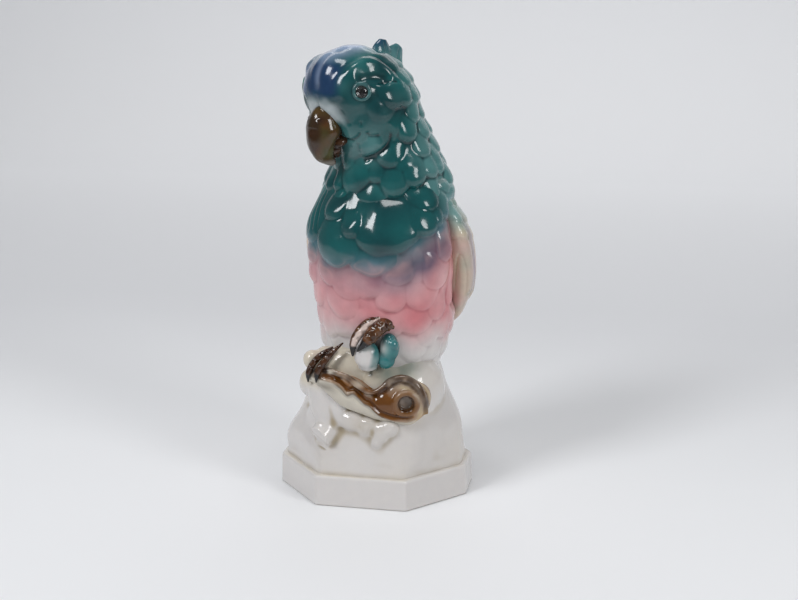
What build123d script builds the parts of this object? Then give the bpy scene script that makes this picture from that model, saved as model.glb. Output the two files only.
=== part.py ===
"""Porcelain parrot on a rock and an eight-sided plinth, as the cast pieces that are luted together.

Millimetres. +Z is up, -Y is the front of the plinth and +X is the bird's left.
The origin is the centre of the plinth's underside.
"""

import os
from math import cos, radians, sin, sqrt

from build123d import *

# Driving dimensions
PLINTH_WIDTH = 99.0
PLINTH_DEPTH = 77.0
PLINTH_HEIGHT = 16.0
CORNER_ALONG_X = 26.0
CORNER_ALONG_Y = 28.0
PLINTH_DRAFT = 2.0
WALL = 4.0
FLOOR = 5.0
VENT_RADIUS = 5.0
CAVITY_MARGIN = 8.5
FOOT_MARGIN, FOOT_RECESS = 6.0, 1.5
CORNER_ROUNDING, RIM_ROUNDING = 2.5, 1.4

ROCK_TOP = 62.0
NECK_SEAM = 158.0
BODY_TURN = -8.0
HEAD_TURN = -36.0
HEAD_CENTRE = (-5.3, -3.1, 203.0)

# Level, centre x, centre y, half-width, half-depth and turn of each section
ROCK_SECTIONS = [
    (16.0, 0.0, 0.0, 46.5, 35.5, 0.0),
    (26.0, 0.5, 0.0, 46.0, 35.3, 0.0),
    (36.0, 2.0, 0.3, 43.0, 34.3, 0.0),
    (46.0, 2.2, 0.8, 39.0, 32.8, 0.0),
    (55.0, 1.5, 1.5, 35.5, 31.5, 0.0),
    (ROCK_TOP, 1.8, 2.5, 33.2, 30.5, 0.0),
]
# Centre and radius of the two lobes that make the shelf in front of the bird
SHELF_LOBES = [((-6.0, -19.0, 63.0), 13.5), ((10.0, -18.5, 63.0), 13.0)]
ROCK_CAVITY = [
    (16.0, 0.0, 0.0, 42.0, 31.0, 0.0),
    (36.0, 2.0, 0.3, 37.5, 29.0, 0.0),
    (ROCK_TOP, 3.0, 3.5, 26.0, 24.0, 0.0),
]
TORSO_SECTIONS = [
    (ROCK_TOP, 3.5, 3.5, 30.0, 28.0, BODY_TURN),
    (80.0, 5.0, 2.5, 33.8, 31.0, BODY_TURN),
    (95.0, 5.8, 1.5, 36.5, 33.0, BODY_TURN),
    (110.0, 6.0, 0.5, 39.3, 34.0, BODY_TURN),
    (125.0, 6.0, 0.0, 41.0, 34.0, BODY_TURN),
    (140.0, 6.0, 0.5, 39.8, 32.5, BODY_TURN),
    (150.0, 6.3, 2.0, 37.2, 30.0, BODY_TURN),
    (NECK_SEAM, 6.8, 4.0, 34.2, 27.5, BODY_TURN),
]
HEAD_SECTIONS = [
    (NECK_SEAM, 6.8, 4.0, 34.2, 27.5, BODY_TURN),
    (166.0, 7.4, 4.5, 30.0, 26.8, -14.0),
    (175.0, 6.5, 4.0, 27.0, 26.5, -24.0),
    (185.0, 2.7, 2.0, 26.5, 26.0, -33.0),
    (195.0, -3.0, -1.0, 28.0, 28.0, HEAD_TURN),
    (204.0, -5.0, -2.5, 28.3, 28.6, HEAD_TURN),
    (212.0, -6.8, -3.2, 26.3, 26.5, HEAD_TURN),
    (219.0, -7.8, -3.8, 21.5, 21.5, HEAD_TURN),
    (224.5, -7.5, -3.8, 14.0, 14.0, HEAD_TURN),
    (227.5, -7.8, -4.0, 5.5, 5.5, HEAD_TURN),
]
HEAD_CAVITY = [
    (NECK_SEAM, 6.8, 4.0, 34.2 - WALL, 27.5 - WALL, BODY_TURN),
    (170.0, 6.5, 4.0, 23.0, 21.5, -18.0),
    (190.0, -1.0, 0.0, 21.5, 21.5, HEAD_TURN),
    (208.0, -6.0, -3.0, 22.0, 22.0, HEAD_TURN),
    (221.0, -7.0, -3.5, 9.0, 9.0, HEAD_TURN),
]
# Sections of a folded wing: level, distance out and back from the bird's axis, half-width, half-depth
WING_AXIS_X, WING_FLARE = 5.5, 25.0
WING_SECTIONS = [
    (88.0, 28.5, 22.0, 4.0, 9.5),
    (98.0, 31.0, 21.0, 6.0, 13.5),
    (110.0, 33.0, 19.0, 7.0, 16.0),
    (124.0, 33.2, 17.0, 7.0, 17.0),
    (138.0, 32.0, 14.0, 6.5, 15.5),
    (151.0, 27.5, 11.0, 5.5, 12.0),
]
TAIL_SECTIONS = [
    (22.0, 4.0, 32.5, 9.0, 4.5, BODY_TURN),
    (45.0, 4.5, 31.0, 12.0, 6.2, BODY_TURN),
    (70.0, 5.0, 29.5, 14.5, 7.5, BODY_TURN),
    (95.0, 5.5, 28.0, 17.0, 8.5, BODY_TURN),
]
# Along x: centre y, centre z, half-depth and half-height of the branch
BRANCH_SECTIONS = [
    (-27.0, -31.5, 66.5, 5.0, 4.5),
    (-12.0, -31.5, 63.5, 6.0, 6.5),
    (2.0, -30.5, 59.0, 7.0, 8.5),
    (12.0, -29.0, 56.5, 8.5, 11.0),
    (22.0, -26.5, 55.0, 9.5, 13.0),
    (31.0, -22.0, 54.0, 9.0, 11.0),
]
KNOT_CENTRE = (22.0, -34.6, 56.0)
KNOT_FACING = (0.3, -0.95, 0.05)
KNOT_RING = 5.2
KNOT_BEAD = 1.9
KNOT_HOLE = 3.6
KNOT_DEPTH = 5.0

# Along the head's midplane, forward of and above its centre
EYE_FORWARD, EYE_SIDE, EYE_UP = 16.0, 20.6, 4.6
EYE_RADIUS = 3.0
EYE_DEPTH = 1.6
PUPIL_RADIUS = 1.5
PUPIL_THICKNESS = 0.8
LID_RING, LID_BEAD = 3.75, 0.9
# Place on the midplane, half-width and half-thickness of the upper beak
BEAK_SECTIONS = [
    ((21.0, -7.0), 8.5, 6.5),
    ((24.5, -15.0), 8.5, 7.2),
    ((24.5, -21.5), 6.8, 6.0),
    ((21.0, -27.5), 4.3, 3.8),
    ((17.6, -31.3), 1.6, 1.4),
]
LOWER_BEAK_PLACE, LOWER_BEAK_RADIUS = (15.5, 0.0, -24.0), 6.3
# Each crest feather: place on the midplane, half-length, half-height and lean
CREST_FEATHERS = {
    "crest_front": ((-14.5, 20.5), 6.0, 6.5, 14.0),
    "crest_rear": ((-24.0, 15.5), 5.5, 9.5, 30.0),
}
CREST_THICKNESS, CREST_ROUNDING = 5.2, 1.56

NUT_CENTRE, NUT_RADIUS = (5.2, -31.6, 79.0), 6.4
KNUCKLE_CENTRE, KNUCKLE_RADIUS = (14.4, -30.0, 82.0), 6.0
# Points along each toe, and its radius at each point
TOES = {
    "left_toe_inner": (
        [(16.0, -27.5, 90.5), (9.5, -34.0, 90.3), (3.8, -36.6, 86.5), (1.4, -37.6, 79.5)],
        [3.2, 3.4, 2.0, 0.5],
    ),
    "left_toe_outer": (
        [(6.5, -29.5, 91.0), (0.5, -33.5, 89.0), (-3.2, -35.5, 84.0), (-3.7, -36.0, 78.0)],
        [2.0, 2.1, 1.5, 0.4],
    ),
    "right_toe_inner": (
        [(-11.5, -29.5, 82.0), (-16.5, -33.0, 78.0), (-20.5, -36.0, 72.5), (-21.8, -37.5, 66.0)],
        [1.0, 2.2, 2.1, 0.4],
    ),
    "right_toe_outer": (
        [(-17.5, -27.5, 79.5), (-22.0, -30.5, 76.5), (-25.8, -33.3, 71.5), (-26.3, -35.0, 65.5)],
        [1.2, 1.9, 1.9, 0.4],
    ),
}
ROOT_POINTS = [(-21.0, -32.0, 64.0), (-20.5, -33.5, 52.0), (-18.0, -34.8, 38.5)]
ROOT_RADIUS = 3.4
STUB_CENTRE, STUB_FACING = (-21.0, -32.5, 37.5), (-0.35, -0.9, -0.15)
STUB_RADIUS, STUB_LENGTH = 4.6, 9.0
ROCK_KNOBS = [((-29.0, -21.5, 59.5), 7.0), ((-26.5, -23.0, 70.0), 5.2)]
TUFT_CENTRES, TUFT_RADIUS = [(-6.0, -30.5, 47.0), (2.0, -31.0, 43.5), (9.0, -31.5, 41.5)], 5.6


def turned(x, y, angle):
    """The point (x, y) turned about the Z axis."""
    a = radians(angle)
    return x * cos(a) - y * sin(a), x * sin(a) + y * cos(a)


def upright_loft(sections):
    """A solid through level ellipses."""
    with BuildPart() as form:
        for z, x, y, half_width, half_depth, turn in sections:
            with BuildSketch(Plane.XY.offset(z)):
                with Locations((x, y)):
                    Ellipse(half_width, half_depth, rotation=turn)
        loft()
    return form.part


def inset(sections, wall):
    """The same sections, smaller by a wall."""
    return [(z, x, y, width - wall, depth - wall, turn) for z, x, y, width, depth, turn in sections]


def octagon(margin=0.0):
    """Corners of the plinth's outline, pulled in by a margin."""
    x = PLINTH_WIDTH / 2 - margin
    y = PLINTH_DEPTH / 2 - margin
    slant = margin * (sqrt(2.0) - 1.0)
    cut_x = CORNER_ALONG_X - slant
    cut_y = CORNER_ALONG_Y - slant
    quarter = [(x, -y + cut_y), (x, y - cut_y), (x - cut_x, y), (-x + cut_x, y)]
    return quarter + [(-px, -py) for px, py in quarter]


# Directions of the head: forward, towards its left, and up
head_forward = Vector(*turned(0.0, -1.0, HEAD_TURN), 0.0)
head_left = Vector(*turned(1.0, 0.0, HEAD_TURN), 0.0)
head_side = Plane(origin=HEAD_CENTRE, x_dir=head_forward, z_dir=-head_left)


def on_head(forward, left, up):
    """A point given in the head's own directions."""
    return Vector(*HEAD_CENTRE) + head_forward * forward + head_left * left + Vector(0, 0, up)


def curved_horn(plane, stations):
    """A solid through ellipses set square to a curve drawn on a plane: place, half-width, half-thickness."""
    with BuildPart() as horn:
        with BuildLine(plane) as path:
            Spline(*[place for place, _, _ in stations])
        curve = path.edge()
        count = len(stations) - 1
        for index, (_, half_width, half_thick) in enumerate(stations):
            centre = curve.position_at(index / count, position_mode=PositionMode.PARAMETER)
            heading = curve.tangent_at(index / count, position_mode=PositionMode.PARAMETER)
            with BuildSketch(Plane(origin=centre, x_dir=plane.z_dir, z_dir=heading)):
                Ellipse(half_width, half_thick)
        loft()
    return horn.part


def tapered_toe(points, radii):
    """A toe and its claw: round sections along a smooth curve, with a round knuckle at its root."""
    with BuildPart() as toe:
        with BuildLine() as path:
            Spline(*points)
        curve = path.edge()
        count = len(points) - 1
        for index, radius in enumerate(radii):
            centre = curve.position_at(index / count, position_mode=PositionMode.PARAMETER)
            heading = curve.tangent_at(index / count, position_mode=PositionMode.PARAMETER)
            with BuildSketch(Plane(origin=centre, z_dir=heading)):
                Circle(radius)
        loft()
        with Locations(points[0]):
            Sphere(radii[0])
    return toe.part


# Solid blanks that the pieces are cut against
torso_blank = upright_loft(TORSO_SECTIONS)
head_blank = upright_loft(HEAD_SECTIONS)
with BuildPart() as rock_form:
    add(upright_loft(ROCK_SECTIONS))
    for centre, radius in SHELF_LOBES:
        with Locations(centre):
            Sphere(radius)
    add(torso_blank, mode=Mode.SUBTRACT)
rock_blank = rock_form.part


# Plinth: an eight-sided box with a closed floor, a vent hole and a foot ring
with BuildPart() as plinth:
    with BuildSketch():
        with BuildLine():
            Polyline(*octagon(), close=True)
        make_face()
    extrude(amount=PLINTH_HEIGHT, taper=PLINTH_DRAFT)
    with BuildSketch(Plane.XY.offset(FLOOR)):
        with BuildLine():
            Polyline(*octagon(CAVITY_MARGIN), close=True)
        make_face()
    extrude(amount=PLINTH_HEIGHT, mode=Mode.SUBTRACT)
    with BuildSketch():
        with BuildLine():
            Polyline(*octagon(FOOT_MARGIN), close=True)
        make_face()
    extrude(amount=FOOT_RECESS, mode=Mode.SUBTRACT)
    Hole(VENT_RADIUS)
    slanted = [
        edge
        for edge in plinth.edges().filter_by(GeomType.LINE)
        if edge.bounding_box().size.Z > PLINTH_HEIGHT * 0.9
    ]
    fillet(slanted, radius=CORNER_ROUNDING)
    top_face = plinth.faces().sort_by(Axis.Z)[-1]
    fillet(top_face.outer_wire().edges(), radius=RIM_ROUNDING)

# Rock: a hollow dome with a shelf in front for the feet
with BuildPart() as rock:
    add(rock_blank)
    add(upright_loft(ROCK_CAVITY), mode=Mode.SUBTRACT)

# Torso: one slip-cast shell from the rock to the neck seam
with BuildPart() as torso:
    add(torso_blank)
    add(upright_loft(inset(TORSO_SECTIONS, WALL)), mode=Mode.SUBTRACT)

# Eye planes: where a level line from the middle of the head leaves its surface
eye_planes = {}
for side, sign in (("left", 1.0), ("right", -1.0)):
    middle = on_head(0.0, 0.0, EYE_UP)
    toward = on_head(EYE_FORWARD, sign * EYE_SIDE, EYE_UP) - middle
    point, normal = head_blank.find_intersection_points(Axis(middle, toward))[-1]
    eye_planes[side] = Plane(origin=point, z_dir=normal)

# Head: skull, cheeks and neck in one shell, with a socket for each glass eye
with BuildPart() as head:
    add(head_blank)
    add(upright_loft(HEAD_CAVITY), mode=Mode.SUBTRACT)
    for plane in eye_planes.values():
        with Locations(plane.location):
            Cylinder(EYE_RADIUS, 4 * WALL, mode=Mode.SUBTRACT)

# Glass eyes: a lid ring on the skull, a glass dome in the socket and a black pupil behind it
eye_parts = {}
for side, plane in eye_planes.items():
    with BuildPart() as lid:
        with Locations(plane.location):
            Torus(LID_RING, LID_BEAD)
        add(head_blank, mode=Mode.SUBTRACT)
    with BuildPart() as glass:
        with BuildSketch(Plane(origin=plane.offset(-EYE_DEPTH).origin, x_dir=plane.z_dir, z_dir=plane.x_dir)):
            Circle(EYE_RADIUS)
            with Locations((-EYE_RADIUS, 0)):
                Rectangle(2 * EYE_RADIUS, 2 * EYE_RADIUS, mode=Mode.SUBTRACT)
            with Locations((0, -EYE_RADIUS)):
                Rectangle(2 * EYE_RADIUS, 2 * EYE_RADIUS, mode=Mode.SUBTRACT)
        revolve(axis=Axis(plane.origin, plane.z_dir))
    with BuildPart() as pupil:
        with BuildSketch(plane.offset(-EYE_DEPTH)):
            Circle(PUPIL_RADIUS)
        extrude(amount=-PUPIL_THICKNESS)
    eye_parts[f"eyelid_{side}"] = lid.part
    eye_parts[f"glass_eye_{side}"] = glass.part
    eye_parts[f"pupil_{side}"] = pupil.part

# Beak: a hooked upper half over a short lower half
upper_blank = curved_horn(head_side, BEAK_SECTIONS)
with BuildPart() as beak_upper:
    add(upper_blank)
    add(head_blank, mode=Mode.SUBTRACT)
with BuildPart() as beak_lower:
    with Locations(on_head(*LOWER_BEAK_PLACE)):
        Sphere(LOWER_BEAK_RADIUS)
    add(head_blank, mode=Mode.SUBTRACT)
    add(upper_blank, mode=Mode.SUBTRACT)

# Crest: two upright feathers stuck on behind the crown
crest_parts = {}
for name, (place, half_length, half_height, lean) in CREST_FEATHERS.items():
    with BuildPart() as feather:
        with BuildSketch(head_side):
            with Locations(place):
                Ellipse(half_length, half_height, rotation=lean)
        extrude(amount=CREST_THICKNESS / 2, both=True)
        fillet(feather.edges(), radius=CREST_ROUNDING)
        add(head_blank, mode=Mode.SUBTRACT)
        if crest_parts:
            add(crest_parts["crest_front"], mode=Mode.SUBTRACT)
    crest_parts[name] = feather.part

# Wings: folded, one each side, and a tail down the back
wing_parts = {}
for side, sign in (("left", 1.0), ("right", -1.0)):
    sections = []
    for z, out, back, half_width, half_depth in WING_SECTIONS:
        x, y = turned(sign * out, back, BODY_TURN)
        sections.append((z, WING_AXIS_X + x, y, half_width, half_depth, BODY_TURN + sign * WING_FLARE))
    with BuildPart() as wing:
        add(upright_loft(sections))
        add(torso_blank, mode=Mode.SUBTRACT)
        add(rock_blank, mode=Mode.SUBTRACT)
    wing_parts[f"wing_{side}"] = wing.part

with BuildPart() as tail:
    add(upright_loft(TAIL_SECTIONS))
    add(torso_blank, mode=Mode.SUBTRACT)
    add(rock_blank, mode=Mode.SUBTRACT)
    for wing_part in wing_parts.values():
        add(wing_part, mode=Mode.SUBTRACT)

# Branch: a thick log across the front, with a ringed knot hole
knot_plane = Plane(origin=KNOT_CENTRE, z_dir=KNOT_FACING)
with BuildPart() as branch:
    for x, y, z, half_depth, half_height in BRANCH_SECTIONS:
        with BuildSketch(Plane(origin=(x, y, z), x_dir=(0, 1, 0), z_dir=(1, 0, 0))):
            Ellipse(half_depth, half_height)
    loft()
    with Locations(knot_plane.location):
        Torus(KNOT_RING, KNOT_BEAD)
        Cylinder(KNOT_HOLE, 2 * KNOT_DEPTH, mode=Mode.SUBTRACT)
    add(rock_blank, mode=Mode.SUBTRACT)
    add(torso_blank, mode=Mode.SUBTRACT)

# Root and stub: a thin stem that runs down the rock from the branch's left end
with BuildPart() as root:
    with BuildLine() as root_path:
        Spline(*ROOT_POINTS)
    with BuildSketch(Plane(origin=root_path.line @ 0, z_dir=root_path.line % 0)):
        Circle(ROOT_RADIUS)
    sweep()
    add(rock_blank, mode=Mode.SUBTRACT)
    add(branch.part, mode=Mode.SUBTRACT)
with BuildPart() as root_stub:
    with Locations(Plane(origin=STUB_CENTRE, z_dir=STUB_FACING).location):
        Cylinder(STUB_RADIUS, STUB_LENGTH)
    add(rock_blank, mode=Mode.SUBTRACT)
    add(root.part, mode=Mode.SUBTRACT)

# Knobs at the left of the rock, and the tuft of leaves under the branch
with BuildPart() as rock_knobs:
    for centre, radius in ROCK_KNOBS:
        with Locations(centre):
            Sphere(radius)
    for neighbour in (rock_blank, torso_blank, branch.part, root.part):
        add(neighbour, mode=Mode.SUBTRACT)
with BuildPart() as leaf_tuft:
    with Locations(*TUFT_CENTRES):
        Sphere(TUFT_RADIUS)
    for neighbour in (rock_blank, branch.part, root.part):
        add(neighbour, mode=Mode.SUBTRACT)

# Left foot: toes closed over a nut, with the rear knuckle beside it
with BuildPart() as nut:
    with Locations(NUT_CENTRE):
        Sphere(NUT_RADIUS)
    for neighbour in (rock_blank, torso_blank, branch.part):
        add(neighbour, mode=Mode.SUBTRACT)
with BuildPart() as left_knuckle:
    with Locations(KNUCKLE_CENTRE):
        Sphere(KNUCKLE_RADIUS)
    for neighbour in (rock_blank, torso_blank, nut.part, branch.part):
        add(neighbour, mode=Mode.SUBTRACT)

# Toes with their claws: two on the nut, and two of the right foot on the branch's left end
toe_parts = {}
placed = [rock_blank, torso_blank, nut.part, left_knuckle.part, branch.part, rock_knobs.part, root.part]
for name, (points, radii) in TOES.items():
    with BuildPart() as toe:
        add(tapered_toe(points, radii))
        for neighbour in placed:
            add(neighbour, mode=Mode.SUBTRACT)
    toe_parts[name] = toe.part
    placed.append(toe.part)

# Each piece to its own file
pieces = {
    "plinth": plinth.part,
    "rock": rock.part,
    "torso": torso.part,
    "head": head.part,
    "beak_upper": beak_upper.part,
    "beak_lower": beak_lower.part,
    "tail": tail.part,
    "branch": branch.part,
    "root": root.part,
    "root_stub": root_stub.part,
    "rock_knobs": rock_knobs.part,
    "leaf_tuft": leaf_tuft.part,
    "nut": nut.part,
    "left_knuckle": left_knuckle.part,
    **eye_parts,
    **crest_parts,
    **wing_parts,
    **toe_parts,
}
os.makedirs("parts", exist_ok=True)
for name, piece in pieces.items():
    piece.label = name
    export_step(piece, f"parts/{name}.step")
    print(name, len(piece.solids()), round(piece.volume))
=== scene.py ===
"""Looks of a glazed porcelain parrot on a rock and an eight-sided plinth.

Shapes are worked out in millimetres, +Z up, -Y the front of the plinth and +X the bird's left,
and become metres when a mesh is made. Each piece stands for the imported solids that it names.
"""

import bpy
import numpy as np
from mathutils import Matrix, Vector
from mathutils.bvhtree import BVHTree


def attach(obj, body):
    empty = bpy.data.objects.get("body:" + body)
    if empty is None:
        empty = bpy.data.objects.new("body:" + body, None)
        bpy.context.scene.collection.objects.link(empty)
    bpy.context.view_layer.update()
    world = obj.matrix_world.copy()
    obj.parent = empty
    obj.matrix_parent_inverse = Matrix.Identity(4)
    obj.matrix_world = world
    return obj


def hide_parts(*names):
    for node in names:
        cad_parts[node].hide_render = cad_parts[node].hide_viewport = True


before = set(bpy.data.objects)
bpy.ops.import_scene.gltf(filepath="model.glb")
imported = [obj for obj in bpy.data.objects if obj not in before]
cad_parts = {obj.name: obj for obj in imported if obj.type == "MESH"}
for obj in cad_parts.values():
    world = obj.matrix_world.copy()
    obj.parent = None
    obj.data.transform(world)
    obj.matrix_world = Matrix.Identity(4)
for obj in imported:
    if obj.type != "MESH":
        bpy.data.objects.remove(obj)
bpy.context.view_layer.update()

MM = 0.001
FINE = 1

# ---- driving sizes
PLINTH_WIDTH, PLINTH_DEPTH, PLINTH_HEIGHT = 99, 77, 16
CORNER_ALONG_X, CORNER_ALONG_Y = 26, 28
BODY_AXIS, BODY_TURN = (6.2, 2), -8
HEAD_CENTRE, HEAD_TURN = (-5.3, -3.1, 203), -36
EYE_FORWARD, EYE_SIDE, EYE_UP = 16, 20.6, 4.6

# Level, centre x, centre y, half-width and half-depth of each section, and the turn of each of the head's
ROCK_SECTIONS = [
    (16, 0, 0, 46.5, 35.5), (26, 0.5, 0, 46, 35.3), (36, 2, 0.3, 43, 34.3), (46, 2.2, 0.8, 39, 32.8),
    (55, 1.5, 1.5, 35.5, 31.5), (62, 1.8, 2.5, 33.2, 30.5), (70, 2.5, 3.5, 27, 25),
]
TORSO_SECTIONS = [(*row, BODY_TURN) for row in (
    (58, 3.5, 3.5, 29, 27.5), (62, 3.5, 3.5, 30, 28), (80, 5, 2.5, 33.8, 31), (95, 5.8, 1.5, 36.5, 33),
    (110, 6, 0.5, 39.3, 34), (125, 6, 0, 41, 34), (140, 6, 0.5, 39.8, 32.5), (150, 6.3, 2, 37.2, 30),
    (158, 6.8, 4, 34.2, 27.5), (163, 7, 4.5, 30, 26),
)]
HEAD_SECTIONS = [
    (150, 6.3, 2, 34, 26.5, -8), (158, 6.8, 4, 32.5, 26.5, -8), (166, 7.4, 4.5, 30, 26.8, -14),
    (175, 6.5, 4, 27, 26.5, -24), (185, 2.7, 2, 26.5, 26, -33), (195, -3, -1, 28, 28, -36),
    (204, -5, -2.5, 28.3, 28.6, -36), (212, -6.8, -3.2, 26.3, 26.5, -36), (219, -7.8, -3.8, 21.5, 21.5, -36),
    (224.5, -7.5, -3.8, 14, 14, -36), (227.5, -7.8, -4, 5.5, 5.5, -36),
]


# ---- small helpers
def turned(x, y, degrees):
    """The point (x, y) turned about the Z axis."""
    a = np.radians(degrees)
    return x * np.cos(a) - y * np.sin(a), x * np.sin(a) + y * np.cos(a)


def ease(value):
    """0 below 0, 1 above 1, and a smooth step between."""
    t = np.clip(value, 0, 1)
    return t * t * (3 - 2 * t)


def bump(distance, width):
    """1 at no distance, fading to nothing over about two widths."""
    return np.exp(-((distance / width) ** 2))


def unit(vectors):
    """A vector, or each row of a table of vectors, made one long."""
    vectors = np.asarray(vectors, float)
    return vectors / np.maximum(np.linalg.norm(vectors, axis=-1, keepdims=True), 1e-12)


def circle(count):
    """Evenly spaced angles once round."""
    return np.linspace(0, 2 * np.pi, count, endpoint=False)


def smooth_table(table, places):
    """The rows of a table carried smoothly between them, read at places along its first column."""
    table = np.array(table, float)
    at = table[:, 0]
    slopes = np.gradient(table, at, axis=0)
    row = np.clip(np.searchsorted(at, places, side="right") - 1, 0, len(at) - 2)
    span = (at[row + 1] - at[row])[:, None]
    t = np.clip((places - at[row])[:, None] / span, 0, 1)
    start, end = table[row], table[row + 1]
    rise = (t**3 - 2 * t**2 + t) * slopes[row] * span + (t**3 - t**2) * slopes[row + 1] * span
    return (2 * t**3 - 3 * t**2 + 1) * start + (3 * t**2 - 2 * t**3) * end + rise


def smooth_path(points, count):
    """Points evenly spaced in step along a smooth curve through a few places."""
    points = np.array(points, float)
    steps = np.arange(len(points), dtype=float)
    table = np.column_stack([steps, points])
    return smooth_table(table, np.linspace(0, len(points) - 1, count))[:, 1:]


def far(points, place, scale=1):
    """Distance of points from a place, with each axis scaled."""
    return np.linalg.norm((points - np.asarray(place)) * scale, axis=1)


def cloud(points, size, seed):
    """Soft random values from -1 to 1 in blobs of a size."""
    lattice = np.random.default_rng(seed).uniform(-1, 1, (32, 32, 32))
    place = points / size + 1000
    cell = np.floor(place).astype(int)
    part = ease(place - cell)
    total = np.zeros(len(points))
    for corner in np.ndindex(2, 2, 2):
        offset = np.array(corner)
        weight = np.prod(np.where(offset == 1, part, 1 - part), axis=1)
        x, y, z = ((cell + offset) % 32).T
        total += weight * lattice[x, y, z]
    return total


def colour(red, green, blue):
    """A colour given as sRGB from 0 to 255, as linear light."""
    value = np.array([red, green, blue], float) / 255
    return np.where(value <= 0.04045, value / 12.92, ((value + 0.055) / 1.055) ** 2.4)


def mixed(first, second, amount):
    """Two colours, or rows of colours, mixed by an amount for each point that is kept from 0 to 1."""
    amount = np.clip(np.asarray(amount, float), 0, 1)[:, None]
    return np.asarray(first) * (1 - amount) + np.asarray(second) * amount


def layered(paint, *layers):
    """A paint under further layers, each a colour and how much of it covers each point."""
    for tint, amount in layers:
        paint = mixed(paint, tint, amount)
    return paint


# ---- meshes to sculpt
class Sculpt:
    """A closed skin of quads, with triangles at its poles, that is shaped by moving its points."""

    def __init__(self, points, quads, triangles=()):
        self.points = np.array(points, float)
        self.quads = np.array(quads, int).reshape(-1, 4)
        self.triangles = np.array(triangles, int).reshape(-1, 3)
        pairs = [self.quads[:, [i, (i + 1) % 4]] for i in range(4)]
        pairs += [self.triangles[:, [i, (i + 1) % 3]] for i in range(3)]
        pairs = np.concatenate(pairs)
        self.starts = np.concatenate([pairs[:, 0], pairs[:, 1]])
        self.ends = np.concatenate([pairs[:, 1], pairs[:, 0]])
        self.share = np.maximum(np.bincount(self.starts, minlength=len(self.points)), 1)

    def mean(self, values):
        """The mean of each point's neighbours."""
        columns = values.reshape(len(values), -1).T
        sums = [np.bincount(self.starts, column[self.ends], len(column)) for column in columns]
        return (np.stack(sums, 1) / self.share[:, None]).reshape(values.shape)

    def smooth(self, rounds, weight=0.5):
        """Moves each point part of the way to the middle of its neighbours, a few times over."""
        weight = np.asarray(weight, float).reshape(-1, 1)
        for _ in range(rounds):
            self.points = self.points + (self.mean(self.points) - self.points) * weight

    def normals(self):
        p, q = self.points, self.quads
        faces = np.cross(p[q[:, 2]] - p[q[:, 0]], p[q[:, 3]] - p[q[:, 1]])
        corners = [q.ravel()]
        values = [np.repeat(faces, 4, axis=0)]
        if len(self.triangles):
            t = self.triangles
            corners.append(t.ravel())
            values.append(np.repeat(np.cross(p[t[:, 1]] - p[t[:, 0]], p[t[:, 2]] - p[t[:, 0]]), 3, axis=0))
        corners, values = np.concatenate(corners), np.concatenate(values)
        return unit(np.stack([np.bincount(corners, values[:, i], len(p)) for i in range(3)], 1))

    def push(self, heights):
        """Moves each point along its normal."""
        self.points = self.points + self.normals() * np.asarray(heights)[:, None]

    def hollow(self, reach):
        """How far each point lies below the mean surface round it: + in a hollow, - on a ridge."""
        edge = self.points[self.quads[:, 0]] - self.points[self.quads[:, 1]]
        step = np.median(np.linalg.norm(edge, axis=1))
        rounds = int(min(max((reach / step) ** 2, 2), 60))
        even = self.points
        for _ in range(rounds):
            even = self.mean(even)
        return ((even - self.points) * self.normals()).sum(1)

    def tree(self):
        faces = self.quads.tolist() + self.triangles.tolist()
        return BVHTree.FromPolygons([Vector(p) for p in self.points], faces)


def ring_faces(rows, columns, closed):
    """Quads between rings of points, one ring to the next, and from the last to the first if closed."""
    row, column = np.meshgrid(np.arange(rows if closed else rows - 1), np.arange(columns), indexing="ij")
    above, after = (row + 1) % rows, (column + 1) % columns
    corners = [(row, column), (row, after), (above, after), (above, column)]
    return np.stack([r * columns + c for r, c in corners], -1).reshape(-1, 4)


def closed_rings(rings):
    """A closed skin over rings of points, with a pole at the middle of the first and last ring."""
    rings = np.asarray(rings, float)
    rows, columns = rings.shape[:2]
    points = np.concatenate([rings.reshape(-1, 3), rings[:1].mean(1), rings[-1:].mean(1)])
    near = np.arange(columns)
    beyond = (near + 1) % columns
    last = (rows - 1) * columns
    low = np.stack([np.full(columns, rows * columns), beyond, near], 1)
    high = np.stack([np.full(columns, rows * columns + 1), last + near, last + beyond], 1)
    return Sculpt(points, ring_faces(rows, columns, False), np.concatenate([low, high]))


def loft(sections, step, columns, grow=0):
    """Level ellipses carried smoothly up through a table of sections."""
    rows = int((sections[-1][0] - sections[0][0]) / step) + 1
    levels = np.linspace(sections[0][0], sections[-1][0], rows)
    z, x, y, half_width, half_depth, turn = [c[:, None] for c in smooth_table(sections, levels).T]
    t = circle(columns)[None, :]
    across = np.sin(t) * np.maximum(half_width + grow, 0.5)
    ahead = -np.cos(t) * np.maximum(half_depth + grow, 0.5)
    side_x, side_y = turned(across, ahead, turn)
    return closed_rings(np.stack([x + side_x, y + side_y, z + 0 * side_x], -1))


def ball(centre, radii, turn=0, columns=40):
    """An ellipsoid with its own turn about Z."""
    radii = np.broadcast_to(np.asarray(radii, float), (3,))
    rise = np.linspace(-0.97, 0.97, columns // 2) * np.pi / 2
    t = circle(columns)[None, :]
    flat = np.cos(rise)[:, None]
    x, y = turned(flat * np.sin(t) * radii[0], -flat * np.cos(t) * radii[1], turn)
    z = np.sin(rise)[:, None] * radii[2] + 0 * x
    return closed_rings(np.stack([x, y, z], -1) + np.asarray(centre, float))


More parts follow.
